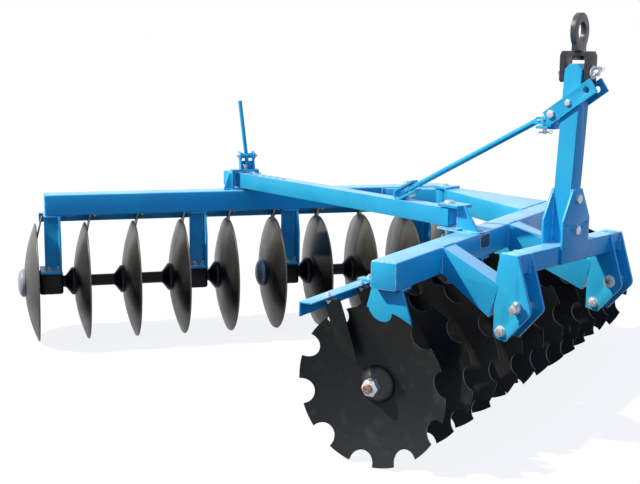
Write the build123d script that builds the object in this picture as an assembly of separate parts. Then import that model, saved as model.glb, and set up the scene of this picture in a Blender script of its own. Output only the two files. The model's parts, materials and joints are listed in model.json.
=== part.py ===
from build123d import *
import math
import os

# Offset disc harrow, three-point mounted: a front row of notched discs and a rear row of
# plain discs under two toolbars that hinge together at the machine's left.
# Millimetres.  X = machine's left, Y = rearward, Z = up.  While it is being modelled, the
# ground point under the front row's right-hand disc is (0, 0, 0); the last step moves the
# origin to the middle of the box round everything, on the ground.

# ---------------------------------------------------------------- discs and gangs
disc_d = 560.0               # disc diameter
disc_sphere_r = 720.0        # radius of the sphere that the disc is pressed to
disc_th = 5.0                # disc plate
disc_pitch = 230.0           # disc spacing along the gang
discs_per_gang = 5
notch_count = 10             # notches round a front disc
notch_r = 45.0               # notch radius
notch_depth = 48.0           # how far a notch cuts in from the rim
notch_phase = 24.5           # a gang's first disc: its first notch, turned from the rear
notch_step = 7.0             # and the turn from each disc to the next
shaft_w = 32.0               # square gang shaft
shaft_play = 0.4             # square hole round the shaft, all round
spool_d = 55.0               # spool tube
flare_d = 132.0              # flare, bell washer and end cap diameter
flare_len = 42.0             # length of a spool's flare
flare_lip = 13.0             # cylindrical lip of the flare
cap_len = 32.0               # domed end cap
cap_dome = (0.82, 0.62)      # the dome's waypoint: shares of its length and of its radius
cap_room = 0.55              # how far the shaft reaches into the cap, as a share of its length
nut_play = 0.2               # nut round the shaft's thread
bell_len = 34.0              # bell washer under the end nut
bell_ledge = 6.0             # its flat round the nut
nut_af = 55.0                # end nut across flats
nut_len = 30.0
shaft_tail = 14.0            # shaft thread beyond the nut
bearing_offset = 64.0        # bearing middle from the rim plane on the hollow side of a disc
bearing_len = 110.0          # bearing housing along the gang
bearing_w = 112.0            # housing, fore and aft
bearing_h = 104.0            # housing height
bearing_fit = 0.05           # radial running fit of a spool in its housing
bearing_bays = (0, 3)        # a gang's bearings sit beside these discs, counted from one end
bore_r = 24.0                # round bore of the spools, caps and bells

# ---------------------------------------------------------------- toolbars
bar_w = 100.0                # toolbar, square section
bar_wall = 8.0               # wall of the toolbars, the hitch beam and its braces
bar_cap = 6.0                # plate that closes a toolbar's end
bar_bottom = 602.0           # underside of the toolbars above the ground
front_bar_t = (78.0, 2035.0)     # front toolbar's ends along its row
rear_bar_t = (43.0, 2050.0)      # rear toolbar's ends along its row
front_row_deg = 11.74        # front row's slew, turned about +Z from X
rear_row_deg = -31.89        # rear row's slew
rear_row_xy = (165.9, 2198.0)    # ground point under the rear row's right-hand disc

# ---------------------------------------------------------------- hangers and scrapers
hanger_w = 74.0              # hanger along the row
hanger_shift = 12.0          # hanger's middle beyond its bearing's, away from the disc
hanger_side_th = 10.0        # flared side plate
hanger_wall = 8.0            # web, head and foot
hanger_front_top = 52.0      # hanger's front edge ahead of the row, at the toolbar
hanger_front_low = 88.0      # and where it stops flaring
hanger_rear_top = 64.0       # hanger's rear edge behind the row, at the toolbar
hanger_rear_low = 92.0
hanger_slope_z = 494.0       # height where both edges stop flaring
hanger_ledge = 22.0          # foot beyond the hanger on the disc's side
angle_leg = 50.0             # scraper bar, L section
angle_th = 6.0
angle_y = 125.0              # scraper bar's front edge behind the row
arm_th = 10.0                # arms that carry the scraper bar under the toolbar
arm_w = 44.0
arm_gap = 22.0               # arm beside its hanger
arm_ahead = 30.0             # arm's front end ahead of the row's middle line
scraper_bar_over = (110.0, 20.0)   # front scraper bar beyond its last blade and beyond its last disc
scraper_bar_rear = (22.0, 30.0)    # rear scraper bar's start, and its end beyond the last blade
blade_w = 65.0               # scraper blade
blade_th = 5.0
blade_gap = 1.0              # blade clear of the scraper bar's upright leg
blade_out = 36.0             # blade's top, outside the rim plane on the hollow side
blade_in = 22.0              # blade's tip, inside the bowl
blade_tip_z = 348.0
blade_lean = 45.0            # blade's tip ahead of its top
blade_flange = 34.0          # bent top flange
blade_slant = 55.0           # slant of the lower end

# ---------------------------------------------------------------- rear frame hinge, left side
hinge_xy = (1800.0, 1035.0)  # vertical hinge pin of the rear frame
hinge_pin_d = 30.0
hinge_fit = 0.05             # radial
barrel_d = 78.0
barrel_play = 5.0            # barrel clear of the bracket plates above and below
barrel_inset = 8.0           # barrel's ends inside the toolbar's height
hinge_plate_th = 14.0
hinge_plate_side = (40.0, 30.0)  # hinge plate's corners beside and behind the pin
hinge_plate_end = (22.0, 46.0)
hinge_plate_inset = 8.0      # plates narrower than the arm's end, each side
hinge_back_th = 12.0
hinge_pin_over = 22.0        # pin under the lower plate
hinge_head_d = 38.0          # head of the hinge pin and of the angle bar's pin
arm_root_x = (1451.0, 1774.0)    # front arm's edges where it leaves the toolbar
arm_end_back = 62.0          # front arm's end ahead of the hinge pin
arm_end_w = 112.0            # front arm's width at its end
arm_end_shift = 8.0          # middle of that end, to the right of the hinge pin
rear_arm_root_t = (1700.0, 2040.0)   # rear arm's edges on the rear toolbar
arm_tip_in = 2.0             # the arm's edges meet the barrel inside its outline

# ---------------------------------------------------------------- angle bar and its brackets
tube_w = 70.0                # angle bar, square tube
tube_wall = 6.0
tube_z = 715.0               # underside of the angle bar
bar_pin_xy = (811.0, 284.0)  # front pivot of the angle bar
bar_pin_d = 30.0
bar_bush_d = 46.0            # bush that the pin runs in
bar_pin_over = 34.0          # pin under the lower plate
bar_nose = 29.0              # angle bar beyond its front pivot
sleeve_t = 1000.0            # sleeve's middle along the rear row
sleeve_out = 18.0            # sleeve's middle ahead of the rear row's middle line
bar_tail = 130.0             # angle bar beyond the sleeve's middle
plate_gap = 5.0              # angle bar clear of the plates above and below it
bracket_th = 12.0
bracket_w = 84.0
gusset_ahead = 54.0          # front pivot's upright gusset ahead of the pin
gusset_top = 30.0            # gusset's top and foot, fore and aft
gusset_foot = 112.0
pivot_tail = 22.0            # front pivot's level plates behind the pin
pin_head_h = 9.0             # heads of the upright pins
sleeve_in_w = 108.0          # clear width between the sleeve's side plates
sleeve_len = 44.0            # side plates, fore and aft
sleeve_gusset = (40.0, 12.0)     # gussets beside the sleeve, at the foot and at the top
sleeve_gusset_drop = 6.0     # and how far they stop below its top plate
lock_hole_d = 22.0           # row of locking holes in the angle bar
lock_hole_pitch = 52.0
lock_hole_count = 7
lock_shift = 12.0            # lock bracket beside the lock pin, towards the machine's left
lock_half = 36.0             # lock bracket's outer faces from its middle
lock_th = 8.0
lock_h = 86.0
lock_foot = (-22.0, 26.0)    # lock bracket's side plates, fore and aft, at the foot and at the head
lock_head = (14.0, 40.0)
lock_cross_h = 39.0          # cross piece between the side plates
lever_d = 19.0
lever_foot = (0.0, 2.0, 26.0)    # lever's ends, across, fore and aft, and above the sleeve
lever_head = (-34.0, 12.0, 332.0)
lever_pivot_drop = 20.0      # lever's cross shaft under the head of the side plates
lever_pivot_d = 16.0
lock_pin_play = 1.0          # lock pin in its hole, in diameter
lock_pin_clear = 2.0         # its ends from the angle bar's side of the sleeve and from the lever

# ---------------------------------------------------------------- hitch
hitch_x = 865.0              # middle of the hitch
beam_w = 72.0                # hitch beam, square section
beam_back = -176.0           # hitch beam's rear face
beam_top = 702.0
hitch_half = 375.0           # outer hitch plates' outer faces from the middle
hitch_plate_th = 12.0
link_gap = 73.0              # clear gap between a pair of hitch plates
link_pin_d = 28.4            # lower link pins
link_pin_y = -257.0
link_pin_z = 516.0
link_pin_over = 38.0         # pin beyond the outer plate
link_pin_tail = 14.0         # and beyond the inner plate
plate_nose = (-311.0, 503.0)     # hitch plate's front corner, fore and aft and upright
plate_nose_r = 30.0          # its rounding
plate_waist = (-158.0, 600.0)    # rear edge slants from the beam to this point
plate_toe = (-208.0, 386.0)
plate_heel_z = 396.0
stay_bolt_y, stay_bolt_z = -190.0, 422.0     # second, smaller hole in the plates
stay_hole_d = 22.0
brace_w = 98.0
brace_drop = 114.0           # fall of a brace from the toolbar to the hitch plates
brace_end_h = 122.0          # height of a brace's lower end
brace_end_y = -166.0         # upper corner of that end
brace_end_lean = 36.0        # its lower corner behind the upper one
mast_w = 70.0                # mast tube
mast_lean_deg = 2.5          # mast leans forward above its plates
mast_top_z = 1361.0
mast_chamfer = 20.0          # mast's top edges, front and rear
mast_plate_th = 10.0
mast_plate_top = 905.0
mast_plate_taper = 112.0     # height over which the mast plates narrow to the mast
mast_plate_h = 272.0
mast_plate_w = 188.0         # mast plates at the hitch beam, and at the mast
mast_plate_top_w = 64.0
strap_th = 10.0
strap_w = 56.0
strap_rear = (-134.0, 1157.0)    # middles of the straps' ends, fore and aft and upright
strap_front = (-320.5, 1288.5)
strap_hole_in = 33.0         # hole from the front end
strap_hole_d = 24.0

# ---------------------------------------------------------------- top yoke and eye
yoke_play = 5.0              # yoke legs clear of the mast, front and rear
yoke_leg_th = 21.0
yoke_w = 54.0
yoke_pin_drop = 30.0         # longitudinal pin under the mast's top
yoke_pin_d = 24.0
yoke_pin_over = (26.0, 16.0)     # pin ahead of the front leg and behind the rear one
yoke_collar = (15.0, 8.0)    # collar's faces ahead of the pin's rear end
yoke_collar_d = 40.0
yoke_tail = 38.0             # legs below the pin
yoke_rise = 45.0             # yoke's top above the mast's top
yoke_head_th = 17.0
yoke_chamfer = 8.0           # yoke's long top edges and the corners of its leg ends
eye_rise = 71.0              # middle of the swivel eye above the yoke
eye_d = 132.0
eye_hole_d = 68.0
eye_th = 20.0
eye_base_w = 92.0            # flat base of the eye
eye_neck_d = 34.0
eye_nut_d = 44.0             # nut that holds the eye under the yoke's head
eye_nut_h = 15.0
eye_turn_deg = 8.0           # the eye at rest, turned about Z
pin_fit = 0.05
face_play = 0.3              # flat faces that turn on each other

# ---------------------------------------------------------------- brace rod and its clevis
rod_d = 24.0
clevis_pin_d = 16.0
clevis_head_d = 28.0
clevis_pin_over = 20.0       # pin under the lower ear
clevis_z = 1140.0            # middle of the clevis gap
clevis_gap = 24.0
clevis_ear_th = 10.0
clevis_ear_w = 48.0
clevis_back = (-152.0, -128.0)   # clevis block, fore and aft, between the straps
clevis_pin_y = -104.0
clevis_ear_end = -78.0
rod_eye_th = 14.0            # flat end of the brace rod
rod_eye_d = 40.0
rod_flat_w = 26.0
rod_bend = 42.0              # flat end's length from the pin to the bend
rod_lap = 10.0               # the round bar's lap into its flat ends
lug_d = 44.0                 # lower lug of the brace rod
lug_th = 14.0
lug_tongue = 58.0            # flat tongue between the lug's middle and the round rod
lug_tongue_w = 30.0
lug_hole_d = 28.0            # the lug's hole leaves room for the bar's slide
u_pos = 232.0                # U strap's bolt behind the angle bar's front pivot
u_gap = 30.0                 # clear height in the U
u_wall = 9.0
u_w = 46.0                   # strap's width
u_back = 46.0                # middle of the closed end beyond the bolt, down the rod's slope
u_mouth = 42.0               # open end on the other side of the bolt
u_seat = 1.5                 # closed end ground flat by this much where it is welded to the angle bar
u_bolt_d = 16.0
u_bolt_over = 12.0           # bolt beyond the strap


# ================================================================ helpers
def block(x, y, z):
    """Box from (low, high) pairs."""
    return Pos(x[0], y[0], z[0]) * Box(x[1] - x[0], y[1] - y[0], z[1] - z[0],
                                       align=(Align.MIN, Align.MIN, Align.MIN))


def rod(p, q, d):
    """Round bar between two points."""
    p, q = Vector(p), Vector(q)
    return Plane(origin=p, z_dir=q - p) * Cylinder(d / 2, (q - p).length,
                                                   align=(Align.CENTER, Align.CENTER, Align.MIN))


def side_plate(pts, x, th):
    """Plate in the Y-Z plane, from x to x + th, outline given as (y, z)."""
    plane = Plane(origin=(x, 0, 0), x_dir=(0, 1, 0), z_dir=(1, 0, 0))
    return extrude(plane * make_face(Polyline(*pts, close=True)), amount=th)


def front_plate(pts, y, th):
    """Plate in the X-Z plane, from y to y + th, outline given as (x, z)."""
    plane = Plane(origin=(0, y + th, 0), x_dir=(1, 0, 0), z_dir=(0, -1, 0))
    return extrude(plane * make_face(Polyline(*pts, close=True)), amount=th)


def flat_plate(pts, z, th):
    """Level plate from z to z + th, outline given as (x, y)."""
    return extrude(Pos(0, 0, z) * make_face(Polyline(*pts, close=True)), amount=th)


def lathe(pts):
    """Solid of revolution about the gang axis; pts are (along, radius) or arcs ('arc', mid, end)."""
    edges, here = [], pts[0]
    for item in pts[1:] + [pts[0]]:
        if item[0] == "arc":
            edges.append(ThreePointArc(here, item[1], item[2]))
            here = item[2]
        elif item != here:
            edges.append(Line(here, item))
            here = item
    return revolve(make_face(Curve() + edges), Axis.X)


def toolbar(t0, t1):
    """Square tube along X with a plate on each end."""
    low, high, inner = bar_bottom, bar_bottom + bar_w, bar_w / 2 - bar_wall
    tube = block((t0 + bar_cap, t1 - bar_cap), (-bar_w / 2, bar_w / 2), (low, high))
    tube -= block((t0, t1), (-inner, inner), (low + bar_wall, high - bar_wall))
    caps = [block((t, t + bar_cap), (-bar_w / 2, bar_w / 2), (low, high)) for t in (t0, t1 - bar_cap)]
    return group([tube] + caps)


def group(solids):
    return Compound(children=[s for item in solids for s in item.solids()])


# ================================================================ rows
axle_z = disc_d / 2
disc_bowl = disc_sphere_r - math.sqrt(disc_sphere_r ** 2 - (disc_d / 2) ** 2)
bar_top = bar_bottom + bar_w
front_row = Location((0, 0, 0), (0, 0, front_row_deg))
rear_row = Location((rear_row_xy[0], rear_row_xy[1], 0), (0, 0, rear_row_deg))
discs_per_row = 2 * discs_per_gang
last_disc = (discs_per_row - 1) * disc_pitch


def row_dir(deg):
    return Vector(math.cos(math.radians(deg)), math.sin(math.radians(deg)), 0)


def sphere_x(r, radius):
    """Distance of the pressed sphere from the disc's rim plane, towards its round side."""
    return disc_bowl - disc_sphere_r + math.sqrt(radius ** 2 - r ** 2)


def disc(notched, turn):
    """Disc with its round side towards +X, rim plane at x = 0, axis on X."""
    r_out, r_in = disc_sphere_r + disc_th / 2, disc_sphere_r - disc_th / 2
    bore, rim = shaft_w / 4, disc_d / 2
    mid = (bore + rim) / 2
    face_pts = [(sphere_x(bore, r_out), bore),
                ("arc", (sphere_x(mid, r_out), mid), (sphere_x(rim, r_out), rim)),
                (sphere_x(rim, r_in), rim),
                ("arc", (sphere_x(mid, r_in), mid), (sphere_x(bore, r_in), bore))]
    body = lathe(face_pts)
    hole = shaft_w + 2 * shaft_play
    body -= Pos(disc_bowl, 0, 0) * Box(4 * disc_th + 8, hole, hole)
    if notched:
        for k in range(notch_count):
            a = math.radians(turn + k * 360 / notch_count)
            r = disc_d / 2 - notch_depth + notch_r
            body -= (Pos(0, r * math.cos(a), r * math.sin(a)) * Rot(0, 90, 0)
                     * Cylinder(notch_r, 2 * disc_bowl))
    return body


def flare(x0):
    """Flare of a spool, seated on the round side of the disc whose rim plane is at x0."""
    r_out = disc_sphere_r + disc_th / 2
    lip, mid = flare_d / 2, (bore_r + flare_d / 2) / 2
    return [(x0 + sphere_x(bore_r, r_out), bore_r),
            ("arc", (x0 + sphere_x(mid, r_out), mid), (x0 + sphere_x(lip, r_out), lip))]


def lip_x(x0):
    """Where the flare's lip meets the disc's round side."""
    return x0 + sphere_x(flare_d / 2, disc_sphere_r + disc_th / 2)


def spool(x0, x1, room):
    """Spool from the round side of the disc at x0 to the hollow side of the disc at x1.

    Its flare is no longer than the room that it has in front of a bearing."""
    r_in = disc_sphere_r - disc_th / 2
    start, tube = lip_x(x0), spool_d / 2
    mid = (tube + bore_r) / 2
    return lathe(flare(x0) + [(start + flare_lip, flare_d / 2), (start + min(flare_len, room), tube),
                              (x1 + sphere_x(tube, r_in), tube),
                              ("arc", (x1 + sphere_x(mid, r_in), mid),
                               (x1 + sphere_x(bore_r, r_in), bore_r))])


def end_cap(x0):
    """Domed cap on the round side of the disc at x0."""
    start, lip = lip_x(x0), flare_d / 2
    return lathe(flare(x0) + [(start + flare_lip, lip),
                              ("arc", (start + cap_len * cap_dome[0], lip * cap_dome[1]),
                               (start + cap_len, bore_r))])


def bell(x1):
    """Bell washer on the hollow side of the disc at x1, its mouth towards -X."""
    lip, mid = flare_d / 2, (bore_r + flare_d / 2) / 2
    r_in = disc_sphere_r - disc_th / 2
    foot = x1 + sphere_x(lip, r_in)
    neck = nut_af / 2 + bell_ledge
    return lathe([(x1 + sphere_x(bore_r, r_in), bore_r),
                  ("arc", (x1 + sphere_x(mid, r_in), mid), (foot, lip)),
                  (foot - flare_lip, lip), (foot - bell_len, neck), (foot - bell_len, bore_r)])


def end_nut(x1, sign):
    """Hexagon nut on the shaft, its seat at x1, standing out to the sign side."""
    hexagon = extrude(Plane(origin=(x1, 0, 0), x_dir=(0, 1, 0), z_dir=(sign, 0, 0))
                      * RegularPolygon(nut_af / 2, 6, major_radius=False), amount=nut_len)
    return hexagon - Pos(x1, 0, 0) * Rot(0, 90, 0) * Cylinder(shaft_w / 2 + nut_play, 3 * nut_len)


def gang(row, first, notched, flip):
    """One gang: discs, spools and shaft, for the discs from `first` on.

    Every gang is built with its round sides towards +X and then turned end for end about Z
    where the round sides face the machine's right."""
    n = discs_per_gang
    lip_in = sphere_x(flare_d / 2, disc_sphere_r - disc_th / 2)
    discs, spools = [], []
    for k in range(n):
        discs.append(Pos(k * disc_pitch, 0, 0) * disc(notched, notch_phase + notch_step * k))
    for k in range(n - 1):
        x0, x1 = k * disc_pitch, (k + 1) * disc_pitch
        room = x1 - bearing_offset - bearing_len / 2 - barrel_play - lip_x(x0)
        spools.append(spool(x0, x1, room if n - 2 - k in bearing_bays else flare_len))
    spools.append(end_cap((n - 1) * disc_pitch))
    spools.append(bell(0))
    nut_seat = lip_in - bell_len
    nut = end_nut(nut_seat, -1)
    tail = nut_seat - nut_len - shaft_tail
    cap_in = (n - 1) * disc_pitch + sphere_x(0, disc_sphere_r + disc_th / 2) + cap_len * cap_room
    shaft = block((nut_seat, cap_in), (-shaft_w / 2, shaft_w / 2), (-shaft_w / 2, shaft_w / 2))
    shaft += Pos(tail, 0, 0) * Rot(0, 90, 0) * Cylinder(shaft_w / 2, nut_seat - tail + 4,
                                                        align=(Align.CENTER, Align.CENTER, Align.MIN))
    out = []
    for item in (group(discs), group(spools), group([nut]), shaft):
        if flip:
            item = Pos((first + n - 1) * disc_pitch, 0, 0) * Rot(0, 0, 180) * item
        else:
            item = Pos(first * disc_pitch, 0, 0) * item
        out.append(row * (Pos(0, 0, axle_z) * item))
    return out


def bearing_t(flip):
    """Bearing middles along a row.  flip: the discs' round sides face the machine's right."""
    ts = []
    for first in (0, discs_per_gang):
        for bay in bearing_bays:
            ts.append((first + bay) * disc_pitch + bearing_offset if flip
                      else (first + discs_per_gang - 1 - bay) * disc_pitch - bearing_offset)
    return sorted(ts)


# ================================================================ hangers, bearings, scrapers
def hangers(row, ts, away):
    """Hangers of plate between the toolbar and the bearings, open to the disc.

    away: the side, +1 or -1 along the row, that carries the flared side plate."""
    out = []
    low = axle_z + bearing_h / 2
    outline = [(-hanger_front_top, bar_bottom), (hanger_rear_top, bar_bottom),
               (hanger_rear_low, hanger_slope_z), (hanger_rear_low, low),
               (-hanger_front_low, low), (-hanger_front_low, hanger_slope_z)]
    for t in ts:
        span = (t - hanger_w / 2, t + hanger_w / 2)
        body = side_plate(outline, span[0] if away < 0 else span[1] - hanger_side_th, hanger_side_th)
        body += block(span, (-hanger_front_top, hanger_rear_top), (bar_bottom - hanger_wall, bar_bottom))
        foot = sorted((t + away * hanger_w / 2, t - away * (hanger_w / 2 + hanger_ledge)))
        body += block(foot, (-hanger_front_low, hanger_rear_low), (low, low + hanger_wall))
        body += block(span, (-hanger_wall / 2, hanger_wall / 2), (low, bar_bottom))
        out.append(row * body)
    return group(out)


def bearings(row, ts):
    out = []
    for t in ts:
        body = block((t - bearing_len / 2, t + bearing_len / 2), (-bearing_w / 2, bearing_w / 2),
                     (axle_z - bearing_h / 2, axle_z + bearing_h / 2))
        body = fillet(body.edges().filter_by(Axis.X), 12)
        body -= Pos(t, 0, axle_z) * Rot(0, 90, 0) * Cylinder(spool_d / 2 + bearing_fit, 2 * bearing_len)
        out.append(row * body)
    return group(out)


def scraper_bar(row, t0, t1):
    """Angle section behind the row, one leg level and one hanging down at the rear."""
    top = bar_bottom - arm_th
    body = block((t0, t1), (angle_y, angle_y + angle_leg), (top - angle_th, top))
    body += block((t0, t1), (angle_y + angle_leg - angle_th, angle_y + angle_leg), (top - angle_leg, top))
    return row * body


def scraper_arms(row, ts):
    """Flat arms between the toolbar's underside and the scraper bar."""
    out = []
    for t in ts:
        a = t + hanger_w / 2 + arm_gap
        out.append(row * block((a, a + arm_w), (-arm_ahead, angle_y + angle_leg),
                               (bar_bottom - arm_th, bar_bottom)))
    return group(out)


def scrapers(row, flip):
    """Blades that reach into the hollow side of every disc."""
    out = []
    top = bar_bottom - arm_th - angle_th
    side = 1 if flip else -1
    y_top = angle_y + angle_leg - angle_th - blade_gap - blade_w / 2
    for k in range(discs_per_row):
        x0 = k * disc_pitch
        a = Vector(x0 + side * blade_out, y_top, top - blade_th)
        b = Vector(x0 - side * blade_in, y_top - blade_lean, blade_tip_z)
        run = b - a
        wide = Vector(0, 1, 0)
        wide = (wide - run * (wide.dot(run) / run.dot(run))).normalized()
        thin = run.normalized().cross(wide)
        h = blade_w / 2
        face = Plane(origin=a - thin * (blade_th / 2), x_dir=wide, z_dir=thin)
        down = 1 if face.y_dir.dot(run) > 0 else -1
        n = run.length
        pts = [(-h, 0), (h, 0), (h, down * (n - blade_slant)), (-h, down * n)]
        blade = extrude(face * make_face(Polyline(*pts, close=True)), amount=blade_th)
        blade -= Pos(a.X, a.Y, top) * Box(2 * blade_w, 2 * blade_w, blade_w,
                                          align=(Align.CENTER, Align.CENTER, Align.MIN))
        low_x, high_x = sorted((a.X - side * blade_th / 2, a.X + side * blade_flange))
        blade += block((low_x, high_x), (y_top - h, y_top + h), (top - blade_th, top))
        out.append(row * blade)
    return group(out)


parts, node_body = {}, {}


def add(body, name, shape):
    parts[name] = shape
    node_body[name] = body


for body, row, deg, flip, bar_t in (("front_frame", front_row, front_row_deg, False, front_bar_t),
                                    ("rear_frame", rear_row, rear_row_deg, True, rear_bar_t)):
    word = body.split("_")[0]
    ts = bearing_t(flip)
    away = 1 if flip else -1
    hanger_ts = [t + away * hanger_shift for t in ts]
    add(body, word + "_toolbar", row * toolbar(*bar_t))
    add(body, word + "_hangers", hangers(row, hanger_ts, away))
    add(body, word + "_bearings", bearings(row, ts))
    if flip:
        span = (scraper_bar_rear[0], last_disc + blade_out + blade_flange + scraper_bar_rear[1])
    else:
        span = (-blade_out - blade_flange - scraper_bar_over[0], last_disc + scraper_bar_over[1])
    add(body, word + "_scraper_bar", scraper_bar(row, *span))
    add(body, word + "_scraper_arms", scraper_arms(row, hanger_ts))
    add(body, word + "_scrapers", scrapers(row, flip))
    for side, first in (("right", 0), ("left", discs_per_gang)):
        name = word + "_" + side
        discs, spools, nut, shaft = gang(row, first, not flip, flip)
        add(name + "_gang", name + "_discs", discs)
        add(name + "_gang", name + "_spools", spools)
        add(name + "_gang", name + "_nut", nut)
        add(name + "_gang", name + "_shaft", shaft)


# ================================================================ rear frame hinge
hx, hy = hinge_xy
barrel_low, barrel_high = bar_bottom + barrel_inset, bar_top - barrel_inset
plates_z = ((barrel_low - barrel_play - hinge_plate_th, barrel_low - barrel_play),
            (barrel_high + barrel_play, barrel_high + barrel_play + hinge_plate_th))
hinge_pin_hole = Pos(hx, hy, bar_bottom) * Cylinder(hinge_pin_d / 2 + hinge_fit, 4 * bar_w)
slew = math.tan(math.radians(front_row_deg))
bar_half_y = bar_w / 2 / math.cos(math.radians(front_row_deg))


def front_bar_rear_y(x):
    """Rear face of the front toolbar at x."""
    return x * slew + bar_half_y


arm_end_y = hy - arm_end_back
end_x = (hx - arm_end_shift - arm_end_w / 2, hx - arm_end_shift + arm_end_w / 2)
arm_outline = [(arm_root_x[0], front_bar_rear_y(arm_root_x[0])),
               (arm_root_x[1], front_bar_rear_y(arm_root_x[1])),
               (end_x[1], arm_end_y), (end_x[0], arm_end_y)]
arm = flat_plate(arm_outline, bar_bottom, bar_w)
arm_inner = [(arm_root_x[0] + 2 * bar_wall, front_bar_rear_y(arm_root_x[0]) - 1),
             (arm_root_x[1] - bar_wall, front_bar_rear_y(arm_root_x[1]) - 1),
             (end_x[1] - bar_wall, arm_end_y - bar_wall), (end_x[0] + bar_wall, arm_end_y - bar_wall)]
arm -= flat_plate(arm_inner, bar_bottom + bar_wall, bar_w - 2 * bar_wall)
add("front_frame", "front_arm", arm)
plate_side, plate_end = hinge_plate_side, hinge_plate_end
plate_outline = [(end_x[0] + hinge_plate_inset, arm_end_y), (end_x[1] - hinge_plate_inset, arm_end_y),
                 (hx + plate_side[0], hy + plate_side[1]), (hx + plate_end[0], hy + plate_end[1]),
                 (hx - plate_end[0], hy + plate_end[1]), (hx - plate_side[0], hy + plate_side[1])]
low_plate = flat_plate(plate_outline, plates_z[0][0], hinge_plate_th)
high_plate = flat_plate(plate_outline, plates_z[1][0], hinge_plate_th)
back = block(end_x, (arm_end_y, arm_end_y + hinge_back_th), (plates_z[0][0], plates_z[1][1]))
add("front_frame", "hinge_bracket", (low_plate + high_plate + back)
    - Pos(hx, hy, bar_bottom) * Cylinder(hinge_pin_d / 2, 4 * bar_w))
pin = rod((hx, hy, plates_z[0][0] - hinge_pin_over), (hx, hy, plates_z[1][1]), hinge_pin_d)
pin += rod((hx, hy, plates_z[1][1]), (hx, hy, plates_z[1][1] + pin_head_h), hinge_head_d)
add("front_frame", "hinge_pin", pin)

a_in = rear_row * Pos(rear_arm_root_t[0], -bar_w / 2, 0)
a_out = rear_row * Pos(rear_arm_root_t[1], -bar_w / 2, 0)
ax0, ax1 = a_in.position, a_out.position
across = row_dir(rear_row_deg)
barrel_mid, tip = Vector(hx, hy, 0), across * (barrel_d / 2 - arm_tip_in)
tip0, tip1 = barrel_mid - tip, barrel_mid + tip
rear_arm = flat_plate([(ax0.X, ax0.Y), (tip0.X, tip0.Y), (tip1.X, tip1.Y), (ax1.X, ax1.Y)],
                      barrel_low, barrel_high - barrel_low)
rear_arm += Pos(hx, hy, barrel_low) * Cylinder(barrel_d / 2, barrel_high - barrel_low,
                                               align=(Align.CENTER, Align.CENTER, Align.MIN))
add("rear_frame", "rear_arm", rear_arm - hinge_pin_hole)

# ================================================================ angle bar
bx, by = bar_pin_xy
sleeve_mid = (rear_row * Pos(sleeve_t, -sleeve_out, 0)).position
run = Vector(sleeve_mid.X - bx, sleeve_mid.Y - by, 0)
run_len = run.length
along = run.normalized()
side = Vector(0, 0, 1).cross(along)
tube_top = tube_z + tube_w
# local X runs rearward on the bar
bar_loc = Plane(origin=(bx, by, 0), x_dir=along, z_dir=(0, 0, 1)).location
bar_len = run_len + bar_tail
tube = block((-bar_nose, bar_len), (-tube_w / 2, tube_w / 2), (tube_z, tube_top))
tube -= block((-bar_nose - 1, bar_len + 1), (-tube_w / 2 + tube_wall, tube_w / 2 - tube_wall),
              (tube_z + tube_wall, tube_top - tube_wall))
tube += Pos(0, 0, tube_z) * Cylinder(bar_bush_d / 2, tube_w, align=(Align.CENTER, Align.CENTER, Align.MIN))
tube -= Pos(0, 0, tube_z) * Cylinder(bar_pin_d / 2 + hinge_fit, 4 * tube_w)
for k in range(lock_hole_count):
    tube -= Pos(run_len - k * lock_hole_pitch, 0, tube_z) * Cylinder(lock_hole_d / 2, 4 * tube_w)
add("angle_bar", "angle_bar", bar_loc * tube)

low_z = (bar_top, tube_z - plate_gap)
top_z = (tube_top + plate_gap, tube_top + plate_gap + bracket_th)
half = bracket_w / 2
pivot_x = (-gusset_ahead - gusset_top, pivot_tail)
pivot = block(pivot_x, (-half, half), low_z) + block(pivot_x, (-half, half), top_z)
gusset_pts = [(-gusset_ahead, bar_top), (-gusset_ahead - gusset_foot, bar_top),
              (-gusset_ahead - gusset_top, top_z[1]), (-gusset_ahead, top_z[1])]
pivot += front_plate(gusset_pts, -bracket_th / 2, bracket_th)
pivot -= Pos(0, 0, bar_top) * Cylinder(bar_pin_d / 2, 4 * bar_w)
add("front_frame", "bar_bracket", bar_loc * pivot)
pin = rod((0, 0, bar_top - bar_pin_over), (0, 0, top_z[1]), bar_pin_d)
pin += rod((0, 0, top_z[1]), (0, 0, top_z[1] + pin_head_h), hinge_head_d)
add("front_frame", "bar_pin", bar_loc * pin)

# ---------------------------------------------------------------- sleeve and lock on the rear toolbar
sl = rear_row * Pos(sleeve_t, -sleeve_out, 0)
wall_in = sleeve_in_w / 2
wall_out = wall_in + bracket_th
sleeve_y = (-sleeve_len / 2, sleeve_len / 2)
sleeve = block((-wall_out, wall_out), sleeve_y, (bar_top, top_z[1]))
sleeve -= block((-wall_in, wall_in), (-sleeve_len, sleeve_len), (low_z[1], top_z[0]))
sleeve -= Pos(0, 0, bar_top) * Cylinder(lock_hole_d / 2, 4 * bar_w)
for s in (-1, 1):
    x0, gusset_z = s * wall_out, top_z[0] - sleeve_gusset_drop
    sleeve += front_plate([(x0, bar_top), (x0 + s * sleeve_gusset[0], bar_top),
                           (x0 + s * sleeve_gusset[1], gusset_z), (x0, gusset_z)],
                          -bracket_th / 2, bracket_th)
add("rear_frame", "lock_sleeve", sl * sleeve)

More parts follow.
